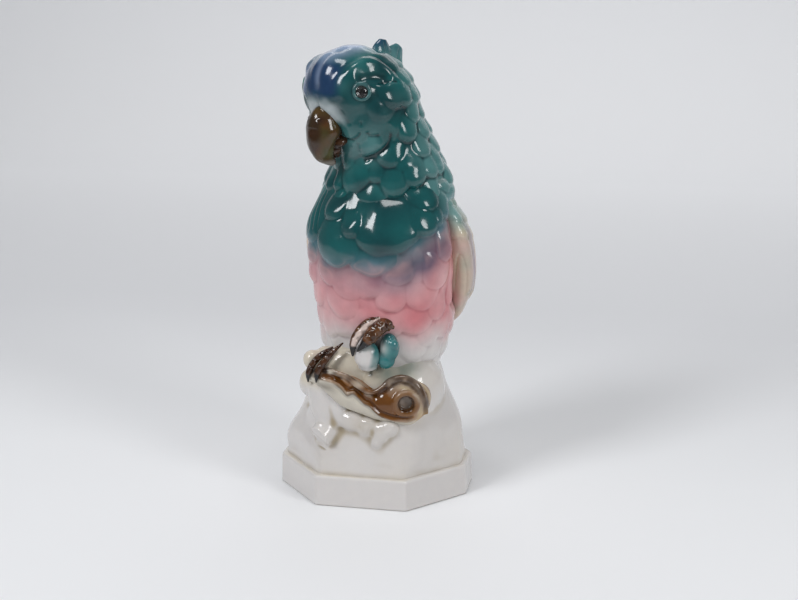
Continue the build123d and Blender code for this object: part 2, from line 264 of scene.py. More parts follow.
def tube(points, radii, up=(0, 0, 1), step=0.5, columns=32):
    """A round or flattened tube along a smooth curve; each radius is a number or a (wide, high) pair."""
    pairs = np.array([np.broadcast_to(np.asarray(r, float), (2,)) for r in radii])
    length = np.linalg.norm(np.diff(np.array(points, float), axis=0), axis=1).sum()
    count = max(int(length / step), 8)
    line = smooth_path(points, count)
    size = smooth_path(pairs, count)
    heading = unit(np.gradient(line, axis=0))
    side = unit(np.cross(heading, up))
    high = np.cross(side, heading)
    t = circle(columns)[None, :, None]
    wide_part = side[:, None, :] * (np.cos(t) * size[:, None, :1])
    high_part = high[:, None, :] * (np.sin(t) * size[:, None, 1:])
    return closed_rings(line[:, None, :] + wide_part - high_part)


def fused(forms, spacing):
    """One even skin of quads round overlapping closed forms."""
    points, faces, count = [], [], 0
    for form in forms:
        points.append(form.points)
        faces += (form.quads + count).tolist() + (form.triangles + count).tolist()
        count += len(form.points)
    mesh = bpy.data.meshes.new("blank")
    mesh.from_pydata(np.concatenate(points).tolist(), [], faces)
    holder = bpy.data.objects.new("blank", mesh)
    bpy.context.scene.collection.objects.link(holder)
    skin = holder.modifiers.new("skin", "REMESH")
    skin.mode = "VOXEL"
    skin.voxel_size = spacing
    bpy.context.view_layer.update()
    result = bpy.data.meshes.new_from_object(holder.evaluated_get(bpy.context.evaluated_depsgraph_get()))
    flat = np.empty(len(result.vertices) * 3)
    result.vertices.foreach_get("co", flat)
    corners = np.empty(len(result.loops), int)
    result.loops.foreach_get("vertex_index", corners)
    bpy.data.objects.remove(holder)
    bpy.data.meshes.remove(mesh)
    bpy.data.meshes.remove(result)
    return Sculpt(flat.reshape(-1, 3), corners.reshape(-1, 4))


# ---- places on a skin
def body_angle(points):
    """Angle in degrees of points about the body's axis, with + towards the bird's left."""
    x, y = points[:, 0] - BODY_AXIS[0], points[:, 1] - BODY_AXIS[1]
    left, back = turned(x, y, -BODY_TURN)
    return np.degrees(np.arctan2(left, -back))


def head_point(forward, left, up):
    """A point given in the head's own directions."""
    x, y = turned(left, -forward, HEAD_TURN)
    return np.array([HEAD_CENTRE[0] + x, HEAD_CENTRE[1] + y, HEAD_CENTRE[2] + up])


HEAD_LEFT = head_point(0, 1, 0) - head_point(0, 0, 0)


def in_head(points):
    """Points in the head's own directions: forward, left and up."""
    x, y = points[:, 0] - HEAD_CENTRE[0], points[:, 1] - HEAD_CENTRE[1]
    left, back = turned(x, y, -HEAD_TURN)
    return -back, left, points[:, 2] - HEAD_CENTRE[2]


def head_spot(tree, angle, level):
    """Where a level line from the head's axis leaves its skin, and the normal there."""
    x, y = turned(np.sin(np.radians(angle)), -np.cos(np.radians(angle)), HEAD_TURN)
    out = Vector((float(x), float(y), 0))
    hit = tree.ray_cast(Vector((*HEAD_CENTRE[:2], level)) + out * 90, -out)
    return np.array(hit[0]), np.array(hit[1])


def line_distance(points, line):
    """Distance of points from a polyline, and how far along it the nearest place is, from 0 to 1."""
    line = np.array(line, float)
    best = np.full(len(points), 1e9)
    along = np.zeros(len(points))
    for index in range(len(line) - 1):
        start, span = line[index], line[index + 1] - line[index]
        t = np.clip((points - start) @ span / (span @ span), 0, 1)
        distance = np.linalg.norm(points - start - t[:, None] * span, axis=1)
        near = distance < best
        best[near] = distance[near]
        along[near] = (index + t[near]) / (len(line) - 1)
    return best, along


def lobe(along, across, width, length, edge):
    """Height from 0 to 1 of a feather lobe: full at its round tip and sinking away towards its root."""
    half = width / 2
    turn_in = min(half, 0.6 * length)
    beyond = np.clip((turn_in - along) / turn_in, 0, None)
    reach = np.sqrt((across / half) ** 2 + beyond**2)
    rise = np.clip((1 - reach) * min(half, turn_in) / edge, 0, 1)
    rounded = np.sqrt(1 - (1 - rise) ** 2)
    ramp = np.clip(1 - along / length, 0, 1) ** 0.75
    return rounded * ramp * (1 - 0.25 * np.minimum(across / half, 1) ** 2)


def wrapped_lobes(points, lobes, table):
    """The highest lobe at each point of a form about the body's axis. A lobe is its tip's angle and
    level, width, length, thickness and lean in degrees."""
    points = points + 1.1 * np.stack([cloud(points, 8, seed) for seed in (201, 202, 203)], 1)
    angle = body_angle(points)
    height = np.zeros(len(points))
    for tip_angle, tip_level, width, length, thick, lean in lobes:
        radius = np.interp(tip_level, [row[0] for row in table], [(row[3] + row[4]) / 2 for row in table])
        across = np.radians((angle - tip_angle + 180) % 360 - 180) * radius
        across, along = turned(across, points[:, 2] - tip_level, lean)
        near = (along > -1) & (along < length) & (np.abs(across) < width)
        edge = min(12, 0.5 * width)
        height[near] = np.maximum(height[near], thick * lobe(along[near], across[near], width, length, edge))
    return height


def flat_lobe(points, tip, normal, width, length, edge):
    """One lobe that hangs down on the plane that touches a skin at the lobe's tip."""
    down = np.array([0, 0, -1])
    down = unit(down - normal * np.dot(down, normal))
    side = np.cross(down, normal)
    local = points - tip
    along, across, off = -local @ down, local @ side, local @ normal
    height = lobe(along, across, width, length, edge)
    return np.where((along > -1) & (np.abs(across) < width) & (off > -14), height, 0)


# ---- camera, lights and floor
def make_camera():
    """Stands where the picture was taken from, a little above the bird and to its left."""
    right = np.array([0.9779, 0.2089, 0])
    up = np.array([-0.0544, 0.2545, 0.9655])
    roll = np.radians(-0.6)
    right, up = right * np.cos(roll) + up * np.sin(roll), up * np.cos(roll) - right * np.sin(roll)
    back = np.cross(right, up)
    camera = bpy.data.objects.new("camera", bpy.data.cameras.new("camera"))
    bpy.context.scene.collection.objects.link(camera)
    camera.data.lens = 60
    camera.data.sensor_width = 36
    camera.data.shift_x = 0.0004
    camera.data.clip_start = 0.01
    place = np.array([149.5, -640.2, 275.7]) * MM
    rows = [[*column] for column in np.stack([right, up, back], 1)]
    camera.matrix_world = Matrix([[*row, value] for row, value in zip(rows, place)] + [[0, 0, 0, 1]])
    bpy.context.scene.camera = camera


def area_light(name, place, target, size, power, tint=(1, 1, 1)):
    """A soft rectangular light that faces a target."""
    light = bpy.data.lights.new(name, "AREA")
    light.shape = "RECTANGLE"
    light.size, light.size_y = size
    light.energy = power
    light.color = tint
    holder = bpy.data.objects.new(name, light)
    bpy.context.scene.collection.objects.link(holder)
    holder.location = place
    holder.rotation_mode = "QUATERNION"
    holder.rotation_quaternion = (Vector(target) - Vector(place)).to_track_quat("-Z", "Y")


def make_light():
    """A large soft window at the upper left, a smaller one at the right and a pale room."""
    scene = bpy.context.scene
    scene.view_settings.view_transform = "Standard"
    world = bpy.data.worlds.new("room")
    scene.world = world
    world.use_nodes = True
    background = world.node_tree.nodes["Background"]
    background.inputs["Color"].default_value = (0.95, 0.97, 1, 1)
    background.inputs["Strength"].default_value = 0.2
    target = (0, 0, 0.13)
    area_light("window_left", (-0.62, -0.75, 0.95), target, (0.34, 0.5), 7.6, (0.97, 0.98, 1))
    area_light("window_right", (0.95, -0.55, 0.6), target, (0.3, 0.45), 4.2)
    area_light("ceiling", (0.05, -0.1, 1.35), target, (0.5, 0.36), 4.4)
    area_light("wall_wash", (0, 0.95, 0.8), (0, 1.05, 0), (2.4, 0.25), 2.4)


def make_stage():
    """A seamless pale sweep: floor, a wide bend and a wall behind."""
    floor_end, bend_radius = 0.95, 0.22
    profile = [(-1.6, 0), (-0.6, 0), (0.3, 0), (floor_end, 0)]
    for a in np.linspace(0.08, np.pi / 2, 20):
        profile.append((floor_end + bend_radius * np.sin(a), bend_radius - bend_radius * np.cos(a)))
    profile += [(1.17, 1.2), (1.17, 2.4)]
    points = [(x, y, z) for y, z in profile for x in (-3, 3)]
    faces = [(2 * i, 2 * i + 1, 2 * i + 3, 2 * i + 2) for i in range(len(profile) - 1)]
    mesh = bpy.data.meshes.new("sweep")
    mesh.from_pydata(points, [], faces)
    mesh.polygons.foreach_set("use_smooth", [True] * len(faces))
    sweep = bpy.data.objects.new("sweep", mesh)
    bpy.context.scene.collection.objects.link(sweep)
    paper, tree, shader = new_material("pale_paper")
    tone = mix_node(tree, add_noise(tree, 3, 3), (0.82, 0.828, 0.842), (0.86, 0.864, 0.876))
    place = tree.nodes.new("ShaderNodeTexCoord")
    split = tree.nodes.new("ShaderNodeSeparateXYZ")
    tree.links.new(place.outputs["Object"], split.inputs["Vector"])
    # Painted shade darkens the paper from just behind the figure and in front of it, and painted light makes
    # it paler further back
    for start, end, at_start, at_end, shade in (
        (0.02, 0.3, 0, 1, (0.745, 0.75, 0.768)),
        (0.35, 0.9, 0, 1, (0.9, 0.905, 0.92)),
        (-0.7, -0.35, 1, 0, (0.45, 0.45, 0.46)),
    ):
        tone = mix_node(tree, ranged(tree, split.outputs["Y"], start, end, at_start, at_end), tone, shade)
    for socket, value in (("Base Color", tone), ("Roughness", 0.6), ("Specular IOR Level", 0.2)):
        feed(tree, shader.inputs[socket], value)
    mesh.materials.append(paper)


# ---- materials
def new_material(name):
    """A node material with only its shader and output; returns the material, its tree and its shader."""
    material = bpy.data.materials.new(name)
    material.use_nodes = True
    return material, material.node_tree, material.node_tree.nodes["Principled BSDF"]


def add_noise(tree, scale, detail):
    """Noise in object space, with its scale in cells per metre."""
    place = tree.nodes.new("ShaderNodeTexCoord")
    noise = tree.nodes.new("ShaderNodeTexNoise")
    for name, value in (("Scale", scale), ("Detail", detail), ("Roughness", 0.55)):
        noise.inputs[name].default_value = value
    tree.links.new(place.outputs["Object"], noise.inputs["Vector"])
    return noise.outputs["Fac"]


def ranged(tree, value, low, high, out_low, out_high):
    """A value carried from one range to another, and kept inside it."""
    node = tree.nodes.new("ShaderNodeMapRange")
    for name, number in (("From Min", low), ("From Max", high), ("To Min", out_low), ("To Max", out_high)):
        node.inputs[name].default_value = number
    tree.links.new(value, node.inputs["Value"])
    return node.outputs["Result"]


def feed(tree, socket, value):
    """Joins an output to a socket, or sets the socket to a fixed number or colour."""
    if isinstance(value, bpy.types.NodeSocket):
        tree.links.new(value, socket)
    elif socket.type == "RGBA":
        socket.default_value = (*value, 1)
    else:
        socket.default_value = value


def mix_node(tree, amount, first, second, mode="MIX"):
    """A colour mix; the amount and either colour may be a socket or a fixed value."""
    node = tree.nodes.new("ShaderNodeMix")
    node.data_type = "RGBA"
    node.blend_type = mode
    node.clamp_factor = True
    feed(tree, node.inputs["Factor"], amount)
    for name, value in (("A", first), ("B", second)):
        feed(tree, [s for s in node.inputs if s.name == name and s.type == "RGBA"][0], value)
    return [s for s in node.outputs if s.type == "RGBA"][0]


def attribute(tree, name, output):
    node = tree.nodes.new("ShaderNodeAttribute")
    node.attribute_name = name
    return node.outputs[output]


def glaze(name, pool=0.45, pool_colour=(0.42, 0.42, 0.44), thin=0.35, thin_colour=(0.62, 0.58, 0.55),
          rough=0.13, speckle=0, wave=0.1, scatter=0, mottle=1):
    """Painted colour under clear glaze: it pools darker in hollows and runs thin and pale on ridges."""
    material, tree, shader = new_material(name)
    hollow = attribute(tree, "hollow", "Fac")
    clouds = add_noise(tree, 190, 4)
    low, high = 1 - 0.07 * mottle, 1 + 0.05 * mottle
    tone = mix_node(tree, ranged(tree, clouds, 0.3, 0.7, 0, 1), (low, low, low + 0.01), (high, high, high))
    shade = mix_node(tree, 1, attribute(tree, "paint", "Color"), tone, "MULTIPLY")
    shade = mix_node(tree, ranged(tree, hollow, 0.03, 0.3, 0, pool), shade, pool_colour, "MULTIPLY")
    shade = mix_node(tree, ranged(tree, hollow, -0.55, -0.12, thin, 0), shade, thin_colour)
    grains = ranged(tree, add_noise(tree, 1500, 2), 0.62, 0.72, 0, speckle)
    relief = tree.nodes.new("ShaderNodeBump")
    feed(tree, relief.inputs["Strength"], wave)
    feed(tree, relief.inputs["Distance"], 0.0006)
    feed(tree, relief.inputs["Height"], add_noise(tree, 330, 1))
    for socket, value in (
        ("Base Color", mix_node(tree, grains, shade, (0.4, 0.33, 0.26), "MULTIPLY")),
        ("Roughness", ranged(tree, clouds, 0.3, 0.7, rough * 0.7, rough * 1.5)),
        ("Normal", relief.outputs["Normal"]),
        ("IOR", 1.46),
        ("Coat Weight", 0.25),
        ("Coat Roughness", 0.07),
        ("Subsurface Weight", scatter),
        ("Subsurface Radius", (1, 0.8, 0.7)),
        ("Subsurface Scale", 0.0015),
    ):
        feed(tree, shader.inputs[socket], value)
    return material


def clear_glass():
    """Clear glass for the eye domes."""
    material, tree, shader = new_material("clear_glass")
    haze = add_noise(tree, 900, 2)
    for socket, value in (
        ("Base Color", mix_node(tree, haze, (0.93, 0.97, 0.96), (1, 1, 1))),
        ("Roughness", ranged(tree, haze, 0.3, 0.8, 0, 0.015)),
        ("Transmission Weight", 1),
        ("IOR", 1.5),
    ):
        feed(tree, shader.inputs[socket], value)
    return material


# ---- making a piece
def make_piece(name, form, material, replaces, paint, reach=1.2):
    """Turns a sculpt into a Blender piece that stands for CAD nodes and takes its finish from a slot."""
    mesh = bpy.data.meshes.new(name)
    faces = form.quads.tolist() + form.triangles.tolist()
    mesh.from_pydata((form.points * MM).tolist(), [], faces)
    mesh.polygons.foreach_set("use_smooth", [True] * len(faces))
    layer = mesh.attributes.new("paint", "FLOAT_COLOR", "POINT")
    rows = np.column_stack([np.clip(paint, 0, 1), np.ones(len(form.points))])
    layer.data.foreach_set("color", rows.astype(np.float32).ravel())
    dents = mesh.attributes.new("hollow", "FLOAT", "POINT")
    dents.data.foreach_set("value", form.hollow(reach).astype(np.float32))
    mesh.materials.append(material)
    mesh.update()
    piece = bpy.data.objects.new(name, mesh)
    bpy.context.scene.collection.objects.link(piece)
    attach(piece, "root")
    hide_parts(*replaces)
    return piece


# ---- colours of the glazes
WHITE = colour(215, 211, 208)
CREAM = colour(214, 203, 180)
BEIGE = colour(176, 160, 128)
TEAL = colour(18, 92, 92)
TEAL_DEEP = colour(6, 56, 60)
TEAL_PALE = colour(96, 146, 145)
INK_BLUE = colour(26, 56, 90)
LAVENDER = colour(150, 166, 198)
PINK = colour(220, 164, 166)
PINK_DEEP = colour(206, 116, 122)
PURPLE = colour(84, 82, 104)
OLIVE = colour(160, 156, 100)
BROWN = colour(98, 58, 20)
BROWN_DARK = colour(44, 24, 14)
BLACK = colour(16, 14, 14)


# ---- plinth
def octagon_ring(margin, columns):
    """The plinth's outline with rounded corners, pulled in by a margin."""
    x, y = PLINTH_WIDTH / 2 - margin, PLINTH_DEPTH / 2 - margin
    slant = margin * (np.sqrt(2) - 1)
    cut_x, cut_y = CORNER_ALONG_X - slant, CORNER_ALONG_Y - slant
    quarter = [(x, -y + cut_y), (x, y - cut_y), (x - cut_x, y), (-x + cut_x, y)]
    corners = np.array(quarter + [(-px, -py) for px, py in quarter])
    closed = np.vstack([corners, corners[:1]])
    lengths = np.concatenate([[0], np.cumsum(np.linalg.norm(np.diff(closed, axis=0), axis=1))])
    at = np.linspace(0, lengths[-1], columns, endpoint=False)
    ring = np.stack([np.interp(at, lengths, closed[:, 0]), np.interp(at, lengths, closed[:, 1])], 1)
    for _ in range(max(int(9 * (columns / 720) ** 2), 2)):
        ring = ring + 0.5 * ((np.roll(ring, 1, 0) + np.roll(ring, -1, 0)) / 2 - ring)
    return ring


def make_plinth(material):
    """An eight-sided block with crisp glossy edges, a recessed foot and slightly wavy walls."""
    columns = int(720 / FINE)
    # Margin inside the outline and level, from the recess under the foot up over the top
    profile = [(30, 1.5), (7, 1.5), (6.2, 1.4), (6, 0.2), (5.6, 0), (0.9, 0), (0.3, 0.25), (0.05, 0.8)]
    profile += [(0.035 * z, z) for z in np.arange(1.6, 14.4, 0.8 * FINE)]
    profile += [(0.5 + 1.4 * (1 - np.cos(a)), 14.5 + 1.4 * np.sin(a)) for a in np.linspace(0, np.pi / 2, 7)]
    profile += [(margin, 15.9 + 0.25 * ease((margin - 2) / 6)) for margin in np.arange(2.4, 14, 1)]
    rings = [np.column_stack([octagon_ring(margin, columns), np.full(columns, z)]) for margin, z in profile]
    form = closed_rings(rings)
    form.push(0.14 * cloud(form.points, 24, 3) * ease((form.points[:, 2] - 1) / 2))
    form.points[:, 2] = np.clip(form.points[:, 2], 0, None)
    z = form.points[:, 2]
    grime = ease((z - 15.6) / 0.4) * (0.35 + 0.35 * cloud(form.points, 7, 5))
    # Painted shade: beige along the bottom edge where the plinth meets the floor
    paint = layered(WHITE, (CREAM, grime), (BEIGE, 0.5 * ease((0.5 - z) / 0.5)))
    make_piece("plinth_glazed", form, material, ["plinth"], paint)


# ---- rock
# Middle and radii of the lumps that stand out of the dome: the shelf, the knobs and the leaf tuft
ROCK_LUMPS = [
    ((-10, -20, 67), (16, 12, 14)), ((9, -19, 60), (15, 13.5, 13.5)), ((19, -10.5, 57), (20, 18.5, 18.5)),
    ((-27.5, -24.5, 61.5), (6.6, 6.4, 7)), ((-26.5, -26, 73.6), (5, 5, 5.2)), ((-20, -22, 75), (6, 5.5, 5)),
    ((-5, -32.4, 44), (7, 4.2, 5.4)), ((2.6, -33.2, 41.8), (5.4, 4.2, 5.6)),
    ((9.2, -33.4, 39), (5, 3.8, 5.6)), ((13.4, -32.4, 41.6), (4.2, 3.6, 4.2)),
    ((8, -34.2, 34.4), (3, 2.6, 3.6)),
]
# Path, radii and flat side of the two strands of the root and of its cut stub
ROOTS = [
    ([(-21, -30.5, 64), (-19.8, -30.5, 54), (-18.3, -31, 46), (-16.5, -31.5, 39)],
     [(4.4, 6.4), (4.2, 6.8), (4.2, 6.6), (3.4, 5.4)], (1, 0, 0)),
    ([(-16, -30, 58), (-12.8, -30.5, 49), (-10.6, -31.5, 41)], [(3.8, 6), (4, 5.6), (3, 3.6)], (1, 0, 0)),
    ([(-14, -25, 43.5), (-22, -34.6, 35)], [(7.2, 6.6), (7, 6.2)], (0, 0, 1)),
]
# Lines pressed in beside the root, between the leaves and down the back
ROCK_FURROWS = [
    [(-25, -30, 62), (-24, -30, 50), (-25, -31, 42), (-28, -31, 35)],
    [(-16.4, -34, 54), (-14.8, -34, 45), (-12.8, -35, 38)],
    [(0, -36, 46), (0.5, -36, 41), (2, -36, 36)],
    [(6.2, -36, 44), (6, -36, 40), (5, -36, 36)],
    [(20, 34, 60), (24, 34, 45), (20, 35, 30)],
    [(-20, 30, 58), (-26, 28, 42), (-24, 30, 28)],
]


def rock_dome():
    """The rock's bulk: eight-sided where it meets the plinth, and round further up."""
    columns = 240
    rings = []
    for z, x, y, half_width, half_depth in smooth_table(ROCK_SECTIONS, np.linspace(PLINTH_HEIGHT, 70, 60)):
        foot = octagon_ring(3 + 0.11 * (z - PLINTH_HEIGHT), columns)
        angle = np.arctan2(foot[:, 1] / half_depth, foot[:, 0] / half_width)
        dome = np.stack([x + half_width * np.cos(angle), y + half_depth * np.sin(angle)], 1)
        flat = mixed(foot, dome, np.full(columns, ease((z - 15) / 26)))
        rings.append(np.column_stack([flat, np.full(columns, z)]))
    below = rings[0] - np.array([0, 0, 3.5])
    return closed_rings(np.array([below] + rings))


def make_rock(material):
    """The rock with its shelf, knobs, root, cut stub and leaf tuft, in one run of soft white glaze."""
    forms = [rock_dome()] + [ball(*lump) for lump in ROCK_LUMPS]
    forms += [tube(line, radii, up=up) for line, radii, up in ROOTS]
    form = fused(forms, 0.75 * FINE)
    form.smooth(6, 0.55)
    p = form.points
    facet = 3.4 * np.sqrt(cloud(p, 24, 11) ** 2 + 0.02) + 0.6 * cloud(p, 13, 12) + 0.08 * cloud(p, 5, 13)
    form.push((facet - 1) * ease((p[:, 2] - 17) / 6))
    p = form.points
    pits = 0.3 * bump(far(p, (-23, -36, 34)), 4)
    for place in ((38, -17, 48.5), (27, -21, 72.5), (16, -27, 74), (-33, -12, 44)):
        pits += 0.9 * bump(far(p, place), 2.2)
    for line in ROCK_FURROWS:
        distance, along = line_distance(p, line)
        pits += bump(distance, 2) * np.sin(np.pi * along)
    form.push(-pits)
    form.smooth(3)
    cut_place, cut_facing = np.array([-21, -35.2, 36]), unit((-0.55, -0.75, -0.4))
    past = np.clip((form.points - cut_place) @ cut_facing, 0, None)
    at_cut = ease((9.5 - far(form.points, cut_place)) / 1.5)
    p = form.points - cut_facing * (past * at_cut)[:, None]
    p[:, 2] = np.maximum(p[:, 2], 14.5)
    form.points = p
    x, y, z = p.T
    shelf = ease((z - 58) / 8) * ease((-y - 4) / 12) * ease((30 - x) / 10)
    seam = ease((19 - z) / 3) * (0.55 + 0.45 * cloud(p, 8, 14))
    tuft = bump(far(p, (2, -35, 43), (0.55, 1, 1)), 6)
    haze = bump(far(p, (18, -27, 74)), 9)
    drip = bump(x - 4.4, 0.8) * ease((74 - z) / 1.5) * ease((z - 66.5) / 2) * (y < -20)
    paint = layered(
        WHITE,
        (CREAM, np.minimum(0.12 + 0.2 * cloud(p, 24, 15), 0.4)),
        (CREAM, 0.75 * shelf),
        # Painted shade: beige in the hollows; the foot where the rock meets the plinth and the leaf tuft are
        # tinted beige as well
        (BEIGE, np.minimum(0.9 * ease(form.hollow(3) / 0.9) + 0.5 * seam + 0.35 * tuft, 0.75)),
        (TEAL_PALE, 0.75 * haze * (0.8 + 0.5 * cloud(p, 4, 16))),
        (TEAL_DEEP, 0.8 * drip),
    )
    nodes = ["rock", "rock_knobs", "root", "root_stub", "leaf_tuft"]
    make_piece("rock_glazed", form, material, nodes, paint, 2)


# ---- torso
# Tip angle and level, width, length, thickness and lean of the large lobes that the breast shows
BREAST_LOBES = [
    (57, 149, 20, 17, 3.2, 0), (89, 157, 15, 16, 2.4, 0), (19, 130, 40, 25, 4.2, 0),
    (51, 138, 18, 18, 3.1, 0), (-10, 137.5, 16, 13, 4.2, 0), (-38, 143.5, 14, 13, 3, 12),
    (-27, 122, 30, 24, 3.4, 8), (-66, 131, 22, 24, 2.5, 14), (9.5, 119.5, 29, 16, 2.3, -4),
    (30, 114.5, 19, 15, 2, -6), (61.5, 111, 16, 19, 2.2, 0), (71, 124.5, 12, 23, 2.4, -6),
    (66, 141.5, 9, 12, 2.2, -8), (77, 144, 8, 15, 2, -6), (-35, 112.5, 15, 14, 1.9, 10),
    (-58, 120.5, 14, 14, 2, 8), (-62, 110, 13, 13, 1.9, 6), (-13.5, 106.5, 22, 17, 2, 0),
    (5, 108, 17, 14, 1.6, 0), (24, 101.5, 18, 15, 1.8, 0), (50, 101, 19, 15, 2.1, -4),
    (66, 95, 13, 14, 1.8, -4), (-22, 96, 20, 15, 1.7, 5), (85, 100, 11, 24, 2.1, 0),
    (-55, 99, 13, 13, 1.8, 6), (-58, 88, 11, 12, 1.6, 4), (-22, 86, 22, 14, 1.6, 0),
    (-42, 84, 15, 14, 1.6, 5), (3, 90, 18, 13, 1.4, 0), (24, 88, 18, 13, 1.6, 0), (46, 88, 20, 15, 1.9, -4),
    (77, 83, 13, 14, 1.7, 0), (88, 90, 11, 14, 1.6, 0), (60, 80, 14, 12, 1.5, 0), (-66, 76, 14, 13, 1.5, 0),
    (-30, 74, 16, 12, 1.3, 0), (46, 74, 16, 12, 1.4, 0), (70, 71, 15, 12, 1.4, 0),
]
# Angle, level and size of the deeper pink spots on the belly
FLUSHED_SPOTS = [(-30, 111, 7), (3, 102, 8), (46, 98, 9), (75, 97, 6), (85, 88, 7), (-68, 92, 8)]


def back_lobes():
    """Rows of smaller overlapping feathers over the back, each row shifted by half a feather."""
    lobes = []
    for row, level in enumerate(np.arange(70, 158, 10.5)):
        for place in range(14):
            angle = 98 + (place + 0.5 * (row % 2)) * 15
            if angle < 268:
                lobes.append((angle, level, 13, 15, 1.7, 0))
    return lobes


def teal_edge(angle):
    """Level of the line where the teal of the breast gives way to pink, by angle round the body."""
    places = [-180, -135, -100, -63, -33, -10, 6, 30, 47, 62, 80, 110, 140, 180]
    levels = [106, 116, 136, 131, 122, 123, 123, 126, 130, 137, 146, 148, 118, 106]
    return np.interp(angle, places, levels)


def make_torso(material):
    """A full breast in large puffed lobes, teal above and pink below, white where it meets the rock."""
    form = loft(TORSO_SECTIONS, 0.46 * FINE, int(560 / FINE), grow=-1.5)
    p, z = form.points, form.points[:, 2]
    height = wrapped_lobes(p, BREAST_LOBES + back_lobes(), TORSO_SECTIONS)
    angle = body_angle(p)
    tucked = 5.6 * bump(angle - 103, 26) + 4.5 * bump(angle + 115, 24)
    tucked = tucked * ease((z - 90) / 20) * ease((156 - z) / 12)
    form.push(1.15 * height - tucked + 0.5 * cloud(p, 9, 21) + 0.2 * cloud(p, 4.5, 26))
    form.smooth(5)
    p, z = form.points, form.points[:, 2]
    angle = body_angle(p)
    for place in (-58, -52, -64, -70):
        off = np.radians(angle - place + 0.6 * (z - 145)) * 34
        form.push(-0.35 * bump(off, 0.8) * ease((z - 134) / 6))
    p, z = form.points, form.points[:, 2]
    hollow = form.hollow(2.2)
    blotch = cloud(p, 9, 22)
    lobed = wrapped_lobes(p, [lobe for lobe in BREAST_LOBES if lobe[1] > 118], TORSO_SECTIONS)
    above = z - (teal_edge(angle) + 1.6 * cloud(p, 6, 23)) + 2.2 * (lobed > 0.4)
    pink = ease((z - 76 - 5 * cloud(p, 14, 24)) / 26)
    paint = mixed(WHITE, mixed(PINK, PINK_DEEP, 0.35 + 0.55 * blotch + 1.1 * ease(hollow / 0.7)), 0.92 * pink)
    for at_angle, level, size in FLUSHED_SPOTS:
        heat = bump(np.hypot(np.radians(angle - at_angle) * 36, z - level), size)
        paint = mixed(paint, PINK_DEEP, 0.62 * heat * (1 + 0.4 * blotch))
    haze = bump(above + 6, 8.5) * (0.3 + 0.7 * bump(angle - 42, 32))
    behind = ease((np.abs(angle) - 100) / 50)
    flank = 0.8 * ease((angle - 62) / 26) + 0.55 * ease((-angle - 52) / 26)
    fringe = bump(above - 2, 6.5) * (0.55 + 0.35 * blotch)
    teal = layered(
        TEAL,
        (TEAL_DEEP, 0.5 + 0.6 * cloud(p, 12, 25)),
        (TEAL_PALE, flank * (1 - behind) + 0.55 * behind),
        (colour(96, 132, 146), np.minimum(fringe, 0.7)),
    )
    paint = layered(
        paint,
        (PURPLE, np.minimum(haze * (0.95 + 0.25 * blotch), 0.9)),
        (teal, ease((above + 8.5) / 15)),
        (colour(206, 160, 156), 0.28 * bump(hollow + 0.16, 0.07) * bump(above + 1, 6)),
    )
    make_piece("torso_glazed", form, material, ["torso"], paint)


# ---- head
# The lobes of the ruff under the cheeks, given as the breast's are
COLLAR_LOBES = [
    (28, 170, 16, 13, 2.6, 0), (-16, 157, 26, 17, 4.2, -8), (30, 155.5, 19, 16, 4, 0),
    (4, 151.5, 26, 13, 4, 0), (52, 161, 14, 13, 3.4, 0), (-44, 157, 9, 16, 3.4, 6),
    (-38, 150, 12, 14, 3.2, 6), (-60, 156, 13, 16, 3.2, 8), (-6, 168, 14, 9, 2, 0),
    (10, 163, 16, 10, 2.6, -6), (72, 164, 13, 13, 2.6, 0), (88, 168, 12, 13, 2.4, 0),
    (47, 168, 18, 10, 2.4, -18), (-76, 158, 13, 15, 3, 6), (-92, 158, 13, 15, 3, 0),
    (68, 152, 13, 13, 3.2, 0), (104, 158, 13, 14, 3.2, 0), (-28, 168, 12, 12, 2, 8),
    (-52, 168, 12, 13, 2.4, 8),
]


# Angle, level, width, length and thickness of the feather plates on each cheek and temple
CHEEK_PLATES = [
    (62, 175.5, 25, 22, 1.7), (80, 185, 15, 14, 1.5), (74, 193, 15, 12, 1.4), (88, 199, 17, 15, 1.9),
    (101, 204, 12, 12, 1.6), (40, 175, 20, 14, 1.2),
]
# Lines on each side of the face as (angle, level) places, with width and depth; a ridge's depth is below 0
CREASES = [
    ([(34, 213), (42, 218), (54, 220.5), (73, 220.5), (88, 216.5), (97, 211.5)], 2.6, -1.5),
    ([(46, 212.5), (60, 214.5), (76, 214), (88, 210.5)], 3.2, 2.3),
    ([(66, 211), (84, 212), (100, 210.5)], 1, 0.8),
    ([(22, 185), (35, 184.5), (48, 186.6), (51, 190)], 1.1, 0.9),
    ([(55, 189.5), (63, 186.7), (75, 187)], 1.1, 0.8),
    ([(49, 184), (50, 181), (52, 178)], 1.3, 0.5),
    ([(52, 174.5), (58, 174.5), (67, 176.5), (79, 180.5), (84, 186), (76, 192)], 1.6, 1.4),
    ([(48, 179.5), (62, 181), (74, 185)], 3.4, -1),
    ([(51, 194), (51.5, 191)], 0.8, 0.4),
    ([(34, 206), (27, 201), (32, 195), (42, 191)], 2, 0.7),
]


def nape_collar():
    return [(angle, 154 + 2 * (i % 2), 13, 14, 3.3, 0) for i, angle in enumerate(range(118, 262, 15))]


def nape_scales(tree):
    """Rows of round overlapping scales down the back and sides of the head, below the crown."""
    scales = []
    for row, level in enumerate((165.5, 174, 182.5, 191, 199.5, 208, 215.5)):
        gap = np.degrees(11 / (27 if level < 205 else 25))
        first = 102 + 6 * max(level - 205, 0) / 10
        for side in (1, -1):
            angle = first + (row % 2) * gap / 2
            while angle < 180 + gap / 4:
                scales.append(head_spot(tree, side * angle, level))
                angle += gap
    return scales


